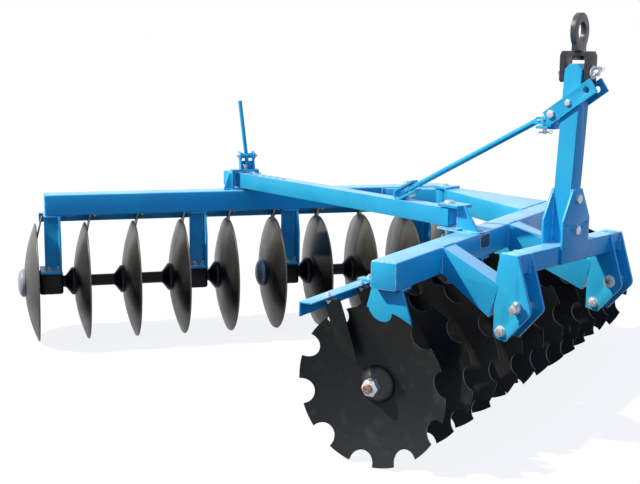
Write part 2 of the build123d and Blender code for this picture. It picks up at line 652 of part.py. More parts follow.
lock_pts = [(lock_foot[0], top_z[1]), (lock_foot[1], top_z[1]),
            (lock_head[1], top_z[1] + lock_h), (lock_head[0], top_z[1] + lock_h)]
lock = side_plate(lock_pts, -lock_half, lock_th) + side_plate(lock_pts, lock_half - lock_th, lock_th)
lock += block((-lock_half, lock_half), (lock_head[0], lock_head[0] + lock_th),
              (top_z[1], top_z[1] + lock_cross_h))
lock_loc = sl * Pos(lock_shift, 0, 0)
add("rear_frame", "lock_bracket", lock_loc * lock)
foot, head = Vector(*lever_foot), Vector(*lever_head)
lever = rod(foot + Vector(0, 0, top_z[1]), head + Vector(0, 0, top_z[1]), lever_d)
pivot_rise = lock_h - lever_pivot_drop
pivot_y = foot.Y + (head.Y - foot.Y) * (pivot_rise - foot.Z) / (head.Z - foot.Z)
inner = lock_half - lock_th
pivot_z = top_z[1] + pivot_rise
lever += rod((-inner, pivot_y, pivot_z), (inner, pivot_y, pivot_z), lever_pivot_d)
add("rear_frame", "lock_lever", lock_loc * lever)
pin_low, pin_high = top_z[0] + lock_pin_clear, top_z[1] + foot.Z - lock_pin_clear
add("rear_frame", "lock_pin", sl * rod((0, 0, pin_low), (0, 0, pin_high), lock_hole_d - lock_pin_play))

# ================================================================ hitch
beam_front = beam_back - beam_w
hitch_lo, hitch_hi = hitch_x - hitch_half, hitch_x + hitch_half
add("front_frame", "hitch_beam", block((hitch_lo + hitch_plate_th, hitch_hi - hitch_plate_th),
                                       (beam_front, beam_back), (beam_top - beam_w, beam_top))
    - block((hitch_lo, hitch_hi), (beam_front + bar_wall, beam_back - bar_wall),
            (beam_top - beam_w + bar_wall, beam_top - bar_wall)))
plate_pts = [(beam_back, beam_top), (beam_front, beam_top), plate_nose, plate_toe,
             (plate_waist[0], plate_heel_z), plate_waist]
beam_box = block((hitch_lo, hitch_hi), (beam_front, beam_back), (beam_top - beam_w, beam_top))
pair_w = 2 * hitch_plate_th + link_gap
hitch_plates = []
for name, low_x in (("right", hitch_lo), ("left", hitch_hi - pair_w)):
    pair = []
    for k, x in enumerate((low_x, low_x + hitch_plate_th + link_gap)):
        p = side_plate(plate_pts, x, hitch_plate_th)
        nose = [e for e in p.edges().filter_by(Axis.X) if e.center().Y < beam_front - 1]
        p = fillet(nose, plate_nose_r)
        p -= Pos(x, link_pin_y, link_pin_z) * Rot(0, 90, 0) * Cylinder(link_pin_d / 2, 60)
        p -= Pos(x, stay_bolt_y, stay_bolt_z) * Rot(0, 90, 0) * Cylinder(stay_hole_d / 2, 60)
        outer = (name == "right") == (k == 0)
        if not outer:
            p -= beam_box
        pair.append(p)
    add("front_frame", "hitch_plates_" + name, group(pair))
    hitch_plates += pair
    over = (link_pin_over, link_pin_tail) if name == "right" else (link_pin_tail, link_pin_over)
    pin = rod((low_x - over[0], link_pin_y, link_pin_z),
              (low_x + pair_w + over[1], link_pin_y, link_pin_z), link_pin_d)
    add("front_frame", "link_pin_" + name, pin)

# each brace runs square to the toolbar and ends behind its pair of hitch plates
braces = []
brace_end_z = bar_top - brace_drop
slew_cos, slew_sin = row_dir(front_row_deg).X, row_dir(front_row_deg).Y
for middle in (hitch_lo + pair_w / 2, hitch_hi - pair_w / 2):
    t = middle * slew_cos + brace_end_y * slew_sin
    end_y = brace_end_y * slew_cos - middle * slew_sin
    pts = [(-bar_w / 2, bar_top), (end_y, brace_end_z),
           (end_y + brace_end_lean, brace_end_z - brace_end_h), (-bar_w / 2, bar_bottom)]
    hollow = [(pts[0][0], bar_top - bar_wall), (end_y + bar_wall, brace_end_z - bar_wall),
              (pts[2][0] + bar_wall, pts[2][1] + bar_wall), (pts[3][0], bar_bottom + bar_wall)]
    solid = side_plate(pts, t - brace_w / 2, brace_w)
    solid -= side_plate(hollow, t - brace_w / 2 + bar_wall, brace_w - 2 * bar_wall)
    solid = front_row * solid
    for plate in hitch_plates:
        solid -= plate
    braces.append(max(solid.solids(), key=lambda s: s.volume))
add("front_frame", "hitch_braces", group(braces))

# mast, its plates and straps
mast_y = (beam_front + beam_back) / 2
foot_w, head_w = mast_plate_w / 2, mast_plate_top_w / 2
shoulder_z = mast_plate_top - mast_plate_taper
mast_plate_pts = [(hitch_x - head_w, mast_plate_top), (hitch_x + head_w, mast_plate_top),
                  (hitch_x + foot_w, shoulder_z), (hitch_x + foot_w, mast_plate_top - mast_plate_h),
                  (hitch_x - foot_w, mast_plate_top - mast_plate_h), (hitch_x - foot_w, shoulder_z)]
add("front_frame", "mast_plates", group([front_plate(mast_plate_pts, y, mast_plate_th)
                                         for y in (beam_front - mast_plate_th, beam_back)]))
lean = math.tan(math.radians(mast_lean_deg))


def mast_at(z):
    """Mast's middle, fore and aft, at height z; it stands upright between its plates."""
    return mast_y - max(0.0, z - mast_plate_top) * lean


def mast_outline(half_w, foot, top, cut):
    """Side view of the mast, half_w each side of its middle line, its top edges cut off."""
    return [(mast_y + half_w, foot), (mast_at(mast_plate_top) + half_w, mast_plate_top),
            (mast_at(top) + half_w, top - cut), (mast_at(top) + half_w - cut, top),
            (mast_at(top) - half_w + cut, top), (mast_at(top) - half_w, top - cut),
            (mast_at(mast_plate_top) - half_w, mast_plate_top), (mast_y - half_w, foot)]


mh = mast_w / 2
core = mh - bar_wall
yoke_pin_z = mast_top_z - yoke_pin_drop
yoke_y = mast_at(yoke_pin_z)
mast = side_plate(mast_outline(mh, beam_top, mast_top_z, mast_chamfer), hitch_x - mh, mast_w)
mast -= side_plate(mast_outline(core, beam_top - 1, mast_top_z - bar_wall, mast_chamfer),
                   hitch_x - core, 2 * core)
mast -= Pos(hitch_x, yoke_y, yoke_pin_z) * Rot(90, 0, 0) * Cylinder(yoke_pin_d / 2, 3 * mast_w)
add("front_frame", "mast", mast)
strap_run = Vector(0, strap_front[0] - strap_rear[0], strap_front[1] - strap_rear[1])
strap = Plane(origin=(hitch_x, strap_rear[0], strap_rear[1]), x_dir=strap_run, z_dir=(1, 0, 0)).location
straps = []
for x in (-mh - strap_th, mh):
    plate = block((0, strap_run.length), (-strap_w / 2, strap_w / 2), (x, x + strap_th))
    plate -= Pos(strap_run.length - strap_hole_in, 0, x) * Cylinder(strap_hole_d / 2, 4 * strap_th)
    straps.append(strap * plate)
add("front_frame", "mast_straps", group(straps))

# clevis block between the straps' rear ends, with an upright pin that holds the brace rod
ear_w = clevis_ear_w / 2
ear_low, ear_high = clevis_z - clevis_gap / 2, clevis_z + clevis_gap / 2
clevis = block((hitch_x - mh, hitch_x + mh), clevis_back, (ear_low, ear_high + clevis_ear_th))
for z in (ear_low - clevis_ear_th, ear_high):
    clevis += block((hitch_x - ear_w, hitch_x + ear_w), (clevis_back[0], clevis_ear_end),
                    (z, z + clevis_ear_th))
clevis -= Pos(hitch_x, clevis_pin_y, clevis_z) * Cylinder(clevis_pin_d / 2, 10 * clevis_gap)
add("front_frame", "rod_clevis", clevis)
pin_top, pin_foot = ear_high + clevis_ear_th, ear_low - clevis_ear_th - clevis_pin_over
pin = rod((0, 0, pin_foot), (0, 0, pin_top), clevis_pin_d)
pin += rod((0, 0, pin_top), (0, 0, pin_top + pin_head_h), clevis_head_d)
add("front_frame", "clevis_pin", Pos(hitch_x, clevis_pin_y, 0) * pin)

# ================================================================ U strap on the angle bar, brace rod
u_r = u_gap / 2 + u_wall
rod_top = Vector(hitch_x, clevis_pin_y, clevis_z)


def rod_lines(bolt_z):
    """Brace rod for a bolt at that height: bolt's middle, level direction, bend and slope."""
    foot = (bar_loc * Pos(u_pos, 0, bolt_z)).position
    level = Vector(foot.X - rod_top.X, foot.Y - rod_top.Y, 0).normalized()
    bend = rod_top + level * rod_bend
    return foot, level, bend, (foot - bend).normalized()


# the closed end's height follows from the slope, and the slope from the bolt's height: two turns settle it
u_bolt_z = tube_top + u_r - u_seat
for turn in range(2):
    u_bolt_z = tube_top + u_r - u_seat - u_back * rod_lines(u_bolt_z)[3].Z
rod_foot, rod_dir, bend, slope = rod_lines(u_bolt_z)
across = Vector(0, 0, 1).cross(rod_dir)
u_loc = Plane(origin=rod_foot, x_dir=slope, z_dir=slope.cross(across)).location   # X runs down the rod
strap = block((-u_mouth, u_back), (-u_w / 2, u_w / 2), (-u_r, u_r))
strap += Pos(u_back, 0, 0) * Rot(90, 0, 0) * Cylinder(u_r, u_w)
strap -= block((-u_mouth - 1, u_back), (-u_w, u_w), (-u_gap / 2, u_gap / 2))
strap -= Pos(u_back, 0, 0) * Rot(90, 0, 0) * Cylinder(u_gap / 2, 2 * u_w)
strap -= Cylinder(u_bolt_d / 2, 4 * u_r)
under_strap = bar_loc * block((-bar_nose, bar_len), (-u_w, u_w), (tube_z, tube_top))
add("angle_bar", "rod_bracket", u_loc * strap - under_strap)
u_bolt_end = u_r + u_bolt_over
add("angle_bar", "rod_bolt", u_loc * rod((0, 0, -u_bolt_end), (0, 0, u_bolt_end), u_bolt_d))

flat_end = Plane(origin=rod_top, x_dir=rod_dir, z_dir=(0, 0, 1))
brace = flat_end * Cylinder(rod_eye_d / 2, rod_eye_th)
brace += flat_end * Pos((rod_bend + rod_lap) / 2, 0, 0) * Box(rod_bend + rod_lap, rod_flat_w, rod_eye_th)
brace += rod(bend - slope * rod_lap / 2, rod_foot - slope * lug_tongue, rod_d)
brace -= flat_end * Cylinder(clevis_pin_d / 2 + hinge_fit, 10 * rod_eye_th)
tongue = lug_tongue + rod_lap
lug = Cylinder(lug_d / 2, lug_th) + Pos(-tongue / 2, 0, 0) * Box(tongue, lug_tongue_w, lug_th)
lug -= Cylinder(lug_hole_d / 2, 4 * lug_th)
add("brace_rod", "brace_rod", brace + u_loc * lug)

# ================================================================ top yoke and swivel eye
yoke_in = mast_w / 2 + yoke_play
yoke_out = yoke_in + yoke_leg_th
yoke_top = mast_top_z + yoke_rise
leg_low = yoke_pin_z - yoke_tail
cut = yoke_chamfer
yoke_pts = [(yoke_y - yoke_out, leg_low), (yoke_y - yoke_out, yoke_top - 2 * cut),
            (yoke_y - yoke_out + cut, yoke_top), (yoke_y + yoke_out - cut, yoke_top),
            (yoke_y + yoke_out, yoke_top - 2 * cut), (yoke_y + yoke_out, leg_low),
            (yoke_y + yoke_in, leg_low), (yoke_y + yoke_in, yoke_top - yoke_head_th),
            (yoke_y - yoke_in, yoke_top - yoke_head_th), (yoke_y - yoke_in, leg_low)]
yoke = side_plate(yoke_pts, hitch_x - yoke_w / 2, yoke_w)
leg_ends = [e for e in yoke.edges().filter_by(Axis.Y) if e.center().Z < leg_low + 1]
yoke = chamfer(leg_ends, cut)
yoke -= Pos(hitch_x, yoke_y, yoke_pin_z) * Rot(90, 0, 0) * Cylinder(yoke_pin_d / 2 + pin_fit, 4 * yoke_out)
yoke -= Pos(hitch_x, yoke_y, yoke_top) * Cylinder(eye_neck_d / 2 + pin_fit, 4 * yoke_head_th)
add("top_yoke", "top_yoke", yoke)
pin_front, pin_rear = -yoke_out - yoke_pin_over[0], yoke_out + yoke_pin_over[1]
pin = rod((0, pin_front, 0), (0, pin_rear, 0), yoke_pin_d)
pin += rod((0, pin_rear - yoke_collar[0], 0), (0, pin_rear - yoke_collar[1], 0), yoke_collar_d)
add("front_frame", "yoke_pin", Pos(hitch_x, yoke_y, yoke_pin_z) * pin)

eye_z = yoke_top + eye_rise
head_low = yoke_top - yoke_head_th
eye = Pos(0, 0, eye_z) * Rot(90, 0, 0) * Cylinder(eye_d / 2, eye_th)
eye += block((-eye_base_w / 2, eye_base_w / 2), (-eye_th / 2, eye_th / 2), (yoke_top + face_play, eye_z))
eye += rod((0, 0, head_low - face_play - eye_nut_h), (0, 0, yoke_top + 2), eye_neck_d)
eye += rod((0, 0, head_low - face_play - eye_nut_h), (0, 0, head_low - face_play), eye_nut_d)
eye -= Pos(0, 0, eye_z) * Rot(90, 0, 0) * Cylinder(eye_hole_d / 2, 2 * eye_th)
add("top_eye", "top_eye", Pos(hitch_x, yoke_y, 0) * Rot(0, 0, eye_turn_deg) * eye)

# ================================================================ origin and export
box = group(list(parts.values())).bounding_box()
shift = Vector(-(box.min.X + box.max.X) / 2, -(box.min.Y + box.max.Y) / 2, -box.min.Z)
os.makedirs("parts", exist_ok=True)
for name, shape in parts.items():
    export_step(Pos(shift.X, shift.Y, shift.Z) * shape, "parts/" + name + ".step")
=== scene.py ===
import json
import math

import bpy
from mathutils import Matrix, Vector


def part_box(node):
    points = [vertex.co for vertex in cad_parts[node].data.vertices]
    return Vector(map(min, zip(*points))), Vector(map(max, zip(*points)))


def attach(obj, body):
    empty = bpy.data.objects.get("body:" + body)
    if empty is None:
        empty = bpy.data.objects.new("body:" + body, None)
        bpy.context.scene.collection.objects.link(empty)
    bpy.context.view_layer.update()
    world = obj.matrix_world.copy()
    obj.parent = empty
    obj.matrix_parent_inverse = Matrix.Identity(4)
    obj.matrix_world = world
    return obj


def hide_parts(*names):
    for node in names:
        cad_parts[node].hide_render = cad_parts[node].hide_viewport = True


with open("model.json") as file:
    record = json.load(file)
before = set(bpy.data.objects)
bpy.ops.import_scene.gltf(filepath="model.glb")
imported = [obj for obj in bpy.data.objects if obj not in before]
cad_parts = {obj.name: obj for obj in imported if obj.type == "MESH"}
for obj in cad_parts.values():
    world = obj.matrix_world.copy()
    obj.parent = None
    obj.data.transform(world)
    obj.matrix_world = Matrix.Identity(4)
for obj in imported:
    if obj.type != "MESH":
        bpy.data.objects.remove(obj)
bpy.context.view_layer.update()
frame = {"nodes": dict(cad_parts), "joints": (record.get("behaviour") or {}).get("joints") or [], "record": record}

# Offset disc harrow.  Metres; +X is the machine's left, +Y rearward, +Z up.

# ---------------------------------------------------------------- sizes shared with the construction
DISC_D = 0.560
SPHERE_R = 0.720  # sphere that a disc is pressed to
DISC_TH = 0.005
DISC_PITCH = 0.230
DISCS_PER_GANG = 5
NOTCHES = 10
NOTCH_R = 0.045
NOTCH_DEPTH = 0.048
NOTCH_PHASE = 24.5  # first notch of a gang's first disc, and the turn from disc to disc, degrees
NOTCH_STEP = 7.0
SHAFT_W = 0.032
FLARE_D = 0.132
FLARE_LEN = 0.042
FLARE_LIP = 0.013
SPOOL_D = 0.055
BORE_R = 0.024
CAP_LEN = 0.032
BELL_LEN = 0.034
NUT_AF = 0.055
NUT_LEN = 0.030
SHAFT_TAIL = 0.014
BEARING_OFFSET = 0.064
BEARING_LEN = 0.110
BEARING_W = 0.112
BEARING_H = 0.104
BEARING_BAYS = (0, 3)
BEARING_PLAY = 0.005
BAR_W = 0.100
BAR_CAP = 0.006
BAR_BOTTOM = 0.602
BAR_TOP = BAR_BOTTOM + BAR_W
BAR_T = {"front": (0.078, 2.035), "rear": (0.043, 2.050)}
HANGER_W = 0.074
HANGER_SHIFT = 0.012
HANGER_WALL = 0.008
HANGER_SIDE_TH = 0.010
HANGER_FRONT_TOP = 0.052
HANGER_FRONT_LOW, HANGER_REAR_LOW = 0.088, 0.092
ARM_GAP = 0.022
ARM_W = 0.044
ARM_TH = 0.010
ANGLE_Y = 0.125  # scraper bar behind the row
ANGLE_LEG = 0.050
ANGLE_TH = 0.006
BLADE_W = 0.065
BLADE_TH = 0.005
BLADE_GAP = 0.001
BLADE_OUT = 0.036  # blade's top outside the rim plane, its tip inside the bowl
BLADE_IN = 0.022
BLADE_TIP_Z = 0.348
BLADE_LEAN = 0.045
BLADE_FLANGE = 0.034
BLADE_SLANT = 0.055
BLADE_Y = ANGLE_Y + ANGLE_LEG - ANGLE_TH - BLADE_GAP - BLADE_W / 2  # middle of the blades' tops
TUBE_W = 0.070  # angle bar
TUBE_WALL = 0.006
TUBE_Z = 0.715
TUBE_TOP = TUBE_Z + TUBE_W
PLATE_GAP = 0.005
BRACKET_TH = 0.012
SLEEVE_T = 1.000
SLEEVE_OUT = 0.018
SLEEVE_HALF = (0.066, 0.022)  # its foot, across and fore and aft
BAR_NOSE = 0.029  # angle bar ahead of its pivot
GUSSET = (-0.166, -0.054)  # pivot's gusset, fore and aft from the pin
PIVOT_BACK = 0.022
BRACKET_W = 0.084
LOCK_SHIFT = 0.012
LOCK_HALF, LOCK_TH = 0.036, 0.008
LOCK_PIVOT = (0.0033, 0.868)  # lever's cross shaft, fore and aft and upright
BRACE_T = (0.4935, 1.1328)  # braces along the front toolbar
FRONT_ARM_T = (1.482, 1.810)  # roots of the pull arms along their toolbars
REAR_ARM_T = (1.700, 2.040)
ROD_BEND = 0.042
U_GAP, U_WALL = 0.030, 0.009
HITCH_PLATE_TH = 0.012
LINK_GAP = 0.073
LINK_PIN_OVER = 0.038
PAIR_W = 2 * HITCH_PLATE_TH + LINK_GAP
PAIR_X = {"right": 0.490, "left": 1.143}  # right-hand face of each pair of hitch plates
STAY_BOLT = (-0.190, 0.422)  # second bolt of a pair, fore and aft and upright
BEAM_FRONT, BEAM_BACK = -0.248, -0.176
BEAM_LOW, BEAM_TOP = 0.630, 0.702
HITCH_MID = 0.865
MAST_W = 0.070
STRAP_TH = 0.010
PLATE_TH, PLATE_TOP = 0.010, 0.905  # mast plates
GUSSET_HALF = 0.094  # half of their foot, across
GUSSET_HOLES = ((-0.072, 0.775), (-0.041, 0.757), (0.041, 0.757), (0.070, 0.775))  # across and upright
GUSSET_HOLE_R = 0.0055
HOLE_REACH = 0.10  # past both plates
MAST_BOLTS = ((0.752, 12), (0.868, 40))  # upright, and the turn of the heads in front
STRAP_BOLTS = ((-0.155, 1.176), (-0.224, 1.221))  # fore and aft and upright
FOOT_BOLT = (0.022, 0.038)  # from the hanger's middle, along the row and across it
BRACE_HALF = 0.049  # half of a brace's root along the toolbar
BAR_CORNER = 0.007  # rolled corner of the toolbars
NAME_PLATE_X, NAME_PLATE_Z = (0.796, 0.884), (0.640, 0.692)
AXLE_Z = DISC_D / 2
BOWL = SPHERE_R - math.sqrt(SPHERE_R ** 2 - (DISC_D / 2) ** 2)
ROW_DISCS = 2 * DISCS_PER_GANG
WEB_TOP = TUBE_TOP + PLATE_GAP + BRACKET_TH  # top of the plates over the angle bar

joints = {joint["name"]: joint for joint in frame["joints"]}
mounts = {mount["name"]: mount for mount in frame["record"]["mounts"]}


move = Matrix.Translation


def turn_by(degrees, axis):
    return Matrix.Rotation(math.radians(degrees), 4, axis)


def row_place(word):
    """A row's own axes: X along the gangs towards the machine's left, Y rearward, Z up from the ground."""
    joint = joints[word + "_right_gang_spin"]
    axis = Vector(joint["axis"])
    start = Vector(joint["pos_m"]) - 2 * DISC_PITCH * axis
    turn = Matrix.Rotation(math.atan2(axis.y, axis.x), 4, "Z")
    return move((start.x, start.y, 0)) @ turn


ROW = {"front": row_place("front"), "rear": row_place("rear")}
MACHINE = move(ROW["front"].translation)  # level axes from the front row's right-hand disc
AWAY = {"front": -1, "rear": 1}  # side of a bearing that faces away from its disc
LINK = MACHINE.inverted() @ Vector(mounts["lower_link_right"]["pos_m"])
SLEEVE = ROW["rear"] @ move((SLEEVE_T, -SLEEVE_OUT, 0))


def bar_place():
    """The angle bar's own axes: X rearward along it from its front pivot, Z up from the ground."""
    pivot = Vector(joints["angle_bar_swing"]["pos_m"])
    run = SLEEVE.translation - pivot
    turn = Matrix.Rotation(math.atan2(run.y, run.x), 4, "Z")
    return move((pivot.x, pivot.y, 0)) @ turn


BAR = bar_place()


# ================================================================ materials
def linear(code):
    """Linear colour of an sRGB hex value."""
    channels = [int(code[k:k + 2], 16) / 255 for k in (1, 3, 5)]
    return [c / 12.92 if c <= 0.04045 else ((c + 0.055) / 1.055) ** 2.4 for c in channels] + [1.0]


def add_node(material, kind, inputs=None, **settings):
    """A new node: settings are its own properties, inputs are values or sockets by name or number."""
    made = material.node_tree.nodes.new("ShaderNode" + kind)
    for name, value in settings.items():
        setattr(made, name, value)
    for name, value in (inputs or {}).items():
        if isinstance(value, bpy.types.NodeSocket):
            material.node_tree.links.new(value, made.inputs[name])
        else:
            made.inputs[name].default_value = value
    return made


def new_material(name):
    """An empty material and the socket of its Object coordinates."""
    material = bpy.data.materials.new(name)
    material.use_nodes = True
    material.node_tree.nodes.clear()
    place = add_node(material, "TexCoord")
    return material, place.outputs["Object"]


def close_material(material, shader):
    add_node(material, "OutputMaterial", {"Surface": shader.outputs[0]})
    return material


def principled(material, colour, roughness, metallic=0.0, specular=0.5, normal=None):
    """The material's surface, closed."""
    inputs = {"Base Color": colour, "Roughness": roughness, "Metallic": metallic,
              "Specular IOR Level": specular}
    if normal:
        inputs["Normal"] = normal
    return close_material(material, add_node(material, "BsdfPrincipled", inputs))


def bumped(material, height, strength, distance=0.0005):
    inputs = {"Strength": strength, "Distance": distance, "Height": height}
    return add_node(material, "Bump", inputs).outputs["Normal"]


def noise(material, at, scale, detail=3.0):
    """Noise whose lumps are about 1 / scale metres across."""
    return add_node(material, "TexNoise", {"Vector": at, "Scale": scale, "Detail": detail}).outputs["Fac"]


def spread(material, value, low, high, start=0.35, stop=0.65):
    """A pattern between start and stop, spread between two numbers or two colours."""
    if isinstance(low, str):
        ramp = add_node(material, "ValToRGB", {"Fac": value})
        ramp.color_ramp.elements[0].position, ramp.color_ramp.elements[1].position = start, stop
        ramp.color_ramp.elements[0].color, ramp.color_ramp.elements[1].color = linear(low), linear(high)
        return ramp.outputs["Color"]
    fit = add_node(material, "MapRange", {"Value": value, "From Min": start, "From Max": stop,
                                          "To Min": low, "To Max": high})
    return fit.outputs["Result"]


def laid_over(material, amount, under, over):
    """One colour laid over another by an amount; colours are sockets or hex values."""
    colours = [linear(c) if isinstance(c, str) else c for c in (under, over)]
    mix = add_node(material, "Mix", {0: amount, 6: colours[0], 7: colours[1]}, data_type="RGBA")
    return mix.outputs[2]


def stretched(material, at, scale):
    """Object coordinates stretched, so that a pattern runs in streaks."""
    return add_node(material, "Mapping", {"Vector": at, "Scale": scale}).outputs["Vector"]


def blue_enamel():
    """Alkyd enamel sprayed over mild steel: glossy, a little orange peel, paler on faces that look up, from dust
    there and a painted sky reflection.
    """
    material, at = new_material("blue_enamel_on_steel")
    patches = noise(material, at, 6.0, 4.0)
    specks = noise(material, at, 150.0)
    coat = spread(material, patches, "#2DB2E0", "#3CBFE8", 0.3, 0.7)
    specked = laid_over(material, spread(material, specks, 0.0, 0.12, 0.62, 0.76), coat, "#B4E0F2")
    # Faces that look up are laid paler: dust, and a painted reflection of the sky.
    upward = add_node(material, "Attribute", attribute_name="dust_and_sky_sheen").outputs["Fac"]
    depth = spread(material, patches, 0.30, 0.55)
    dust_and_sheen_share = add_node(material, "Math", {0: upward, 1: depth}, operation="MULTIPLY")
    dust_and_sheen_coat = laid_over(material, dust_and_sheen_share.outputs[0], specked, "#CFE6F2")
    peel = bumped(material, noise(material, at, 300.0, 1.0), 0.12, 0.0004)
    return principled(material, dust_and_sheen_coat, spread(material, patches, 0.26, 0.42), specular=0.24, normal=peel)


def weld_enamel():
    """The same enamel over weld beads, where it lies thin; its pale patches are painted highlights on the ripples.
    """
    material, at = new_material("blue_enamel_on_weld_with_painted_highlights")
    # Pale patches: painted highlights, as if the ripples caught the light.
    coat = spread(material, noise(material, at, 90.0), "#4CBDEE", "#B9E4F6", 0.35, 0.7)
    return principled(material, coat, 0.34)


def disc_steel(name, low, high, heights, clouding, rough, metallic, specular):
    """Quenched boron steel under oil, with painted shade that changes its tone by height from the lower to the
    upper part of a disc.
    """
    material, at = new_material(name)
    height = add_node(material, "SeparateXYZ", {"Vector": at}).outputs["Z"]
    clouds = noise(material, at, 7.0, 5.0)
    scuffs = noise(material, at, 16.0, 4.0)
    # Painted shade: the tone follows the height, a little clouded by noise.
    painted_shade_by_height = add_node(material, "Math", {0: clouds, 1: 0.30, 2: height}, operation="MULTIPLY_ADD").outputs[0]
    colour = spread(material, painted_shade_by_height, low, high, *heights)
    worn = spread(material, scuffs, 0.0, clouding, 0.55, 0.80)
    colour = laid_over(material, worn, colour, "#8C8A84")
    gloss = spread(material, clouds, rough * 0.85, rough * 1.2)
    return principled(material, colour, gloss, metallic, specular, bumped(material, scuffs, 0.05))


def bright_edge():
    """Ground cutting edge, bare and bright, before its first day in the soil."""
    material, at = new_material("ground_steel_edge")
    lines = noise(material, stretched(material, at, (500.0, 500.0, 80.0)), 1.0)
    colour = spread(material, lines, "#3C3C3B", "#5E5E5C")
    return principled(material, colour, spread(material, lines, 0.36, 0.52), 0.7)


def black_casting():
    """Chassis black over grey iron castings: satin, with the sand's grain showing through."""
    material, at = new_material("black_paint_on_cast_iron")
    grain = noise(material, at, 350.0, 2.0)
    clouds = noise(material, at, 18.0)
    sand = bumped(material, grain, 0.25)
    return principled(material, spread(material, clouds, "#08090C", "#101217"),
                      spread(material, clouds, 0.28, 0.42), specular=0.15, normal=sand)


def blade_paint(name, dark, light, specular):
    """Thin black paint on scraper blades of spring steel plate: nearly matt, scuffed paler in streaks."""
    material, at = new_material(name)
    scuffs = noise(material, stretched(material, at, (40.0, 40.0, 9.0)), 1.0, 5.0)
    return principled(material, spread(material, scuffs, dark, light, 0.4, 0.75),
                      spread(material, scuffs, 0.34, 0.50), specular=specular)


def satin_paint(name, dark, light):
    """Grey to black machine paint on forged and turned steel: satin and faintly uneven."""
    material, at = new_material(name)
    clouds = noise(material, at, 30.0)
    return principled(material, spread(material, clouds, dark, light), spread(material, clouds, 0.32, 0.48))


def zinc_plate():
    """Zinc on pins, nuts and washers: pale and neutral, half metallic, dulled by its passivation."""
    material, at = new_material("zinc_plate_on_steel")
    tint, haze = noise(material, at, 60.0), noise(material, at, 200.0)
    colour = spread(material, tint, "#C6C7C9", "#E2E2E0")
    return principled(material, colour, spread(material, haze, 0.35, 0.50), 0.55)


def shaft_steel():
    """Turned end of the gang shaft, with a first bloom of rust that gives it a copper cast."""
    material, at = new_material("flash_rusted_shaft")
    bloom = noise(material, at, 120.0, 4.0)
    colour = spread(material, bloom, "#7C5F52", "#A48A7E")
    return principled(material, colour, spread(material, bloom, 0.40, 0.60), 0.5)


def data_plate():
    """Anodised name plate left blank: dark blue-black, satin."""
    material, at = new_material("blank_data_plate")
    return principled(material, spread(material, noise(material, at, 80.0), "#0B1730", "#14264A"), 0.35, 0.2)


BLUE = blue_enamel()
WELD = weld_enamel()
# Painted shade by height: the front discs darker towards the top, the rear discs darker towards the bottom; the
# front discs' black is partly their own tone and partly painted shade.
FRONT_DISC = disc_steel("black_disc_steel_with_painted_shade", "#25272B", "#0F100E", (0.20, 0.62), 0.12, 0.44, 0.0, 0.20)
REAR_DISC = disc_steel("grey_disc_steel_with_painted_shade", "#11100F", "#77756F", (0.38, 0.76), 0.14, 0.36, 0.65, 0.30)
EDGE = bright_edge()
CASTING = black_casting()
CAP = satin_paint("grey_paint_on_end_cap", "#989B9F", "#B2B4B7")
BELL = satin_paint("satin_black_on_bell_washer", "#17181B", "#25262A")
BLADE = blade_paint("black_paint_on_front_blade", "#131413", "#232422", 0.20)
# The rear blades' pale grey is a painted highlight of the sun on blades like the front ones; their streaks are
# scuffs.
REAR_BLADE = blade_paint("scuffed_paint_on_rear_blade_with_painted_highlight", "#4A4843", "#858178", 0.50)
YOKE = satin_paint("charcoal_paint_on_yoke", "#1C1E23", "#2A2D33")
RING = satin_paint("charcoal_paint_on_eye", "#36383D", "#4A4C53")
ZINC = zinc_plate()
SHAFT = shaft_steel()
PLATE = data_plate()
SLOTS = {"frame_blue": BLUE, "disc_steel": FRONT_DISC, "hub_black": CASTING, "scraper_black": BLADE,
         "yoke_black": YOKE, "zinc": ZINC, "shaft_steel": SHAFT}
for part in frame["record"]["subparts"]:
    node = frame["nodes"][part["node"]]
    node.data.materials.clear()
    node.data.materials.append(SLOTS[part["material_slot"]])


# ================================================================ modelling helpers
def alone(*pieces):
    """Only these objects selected, the first one active."""
    bpy.ops.object.select_all(action="DESELECT")
    for piece in pieces:
        piece.select_set(True)
    bpy.context.view_layer.objects.active = pieces[0]


def deselect():
    bpy.ops.object.select_all(action="DESELECT")


def edit(piece):
    """The piece alone in edit mode, all of it selected."""
    alone(piece)
    bpy.ops.object.mode_set(mode="EDIT")
    bpy.ops.mesh.select_all(action="SELECT")


def done(piece=None):
    bpy.ops.object.mode_set(mode="OBJECT")
    return piece


def linked(name, data):
    piece = bpy.data.objects.new(name, data)
    bpy.context.scene.collection.objects.link(piece)
    return piece


def drawn(points):
    """Line drawn from point to point, left in edit mode with all of it selected."""
    deselect()
    bpy.ops.mesh.primitive_plane_add(size=1)
    bpy.ops.object.mode_set(mode="EDIT")
    bpy.ops.mesh.merge(type="CENTER")
    bpy.ops.transform.translate(value=points[0])
    for here, there in zip(points, points[1:]):
        bpy.ops.mesh.extrude_vertices_move(TRANSFORM_OT_translate={"value": there - here})
    bpy.ops.mesh.select_all(action="SELECT")
    return bpy.context.object


def cord(name, runs, depth, resolution):
    """Round cord as a mesh, along runs of (point, radius), each radius times the depth."""
    line = bpy.data.curves.new(name, "CURVE")
    line.dimensions = "3D"
    line.bevel_depth, line.bevel_resolution = depth, resolution
    line.use_fill_caps = True
    for run in runs:
        spline = line.splines.new("POLY")
        spline.points.add(len(run) - 1)
        for point, (place, radius) in zip(spline.points, run):
            point.co, point.radius = (*place, 1.0), radius
    alone(linked(name, line))
    bpy.ops.object.convert(target="MESH")
    return bpy.context.object


def drop(*patterns):
    """Patterns that have been copied as often as needed."""
    for pattern in patterns:
        bpy.data.objects.remove(pattern)


def seated(piece):
    """The piece's place taken into its mesh."""
    alone(piece)
    bpy.ops.object.transform_apply(location=True, rotation=True, scale=True)
    return piece


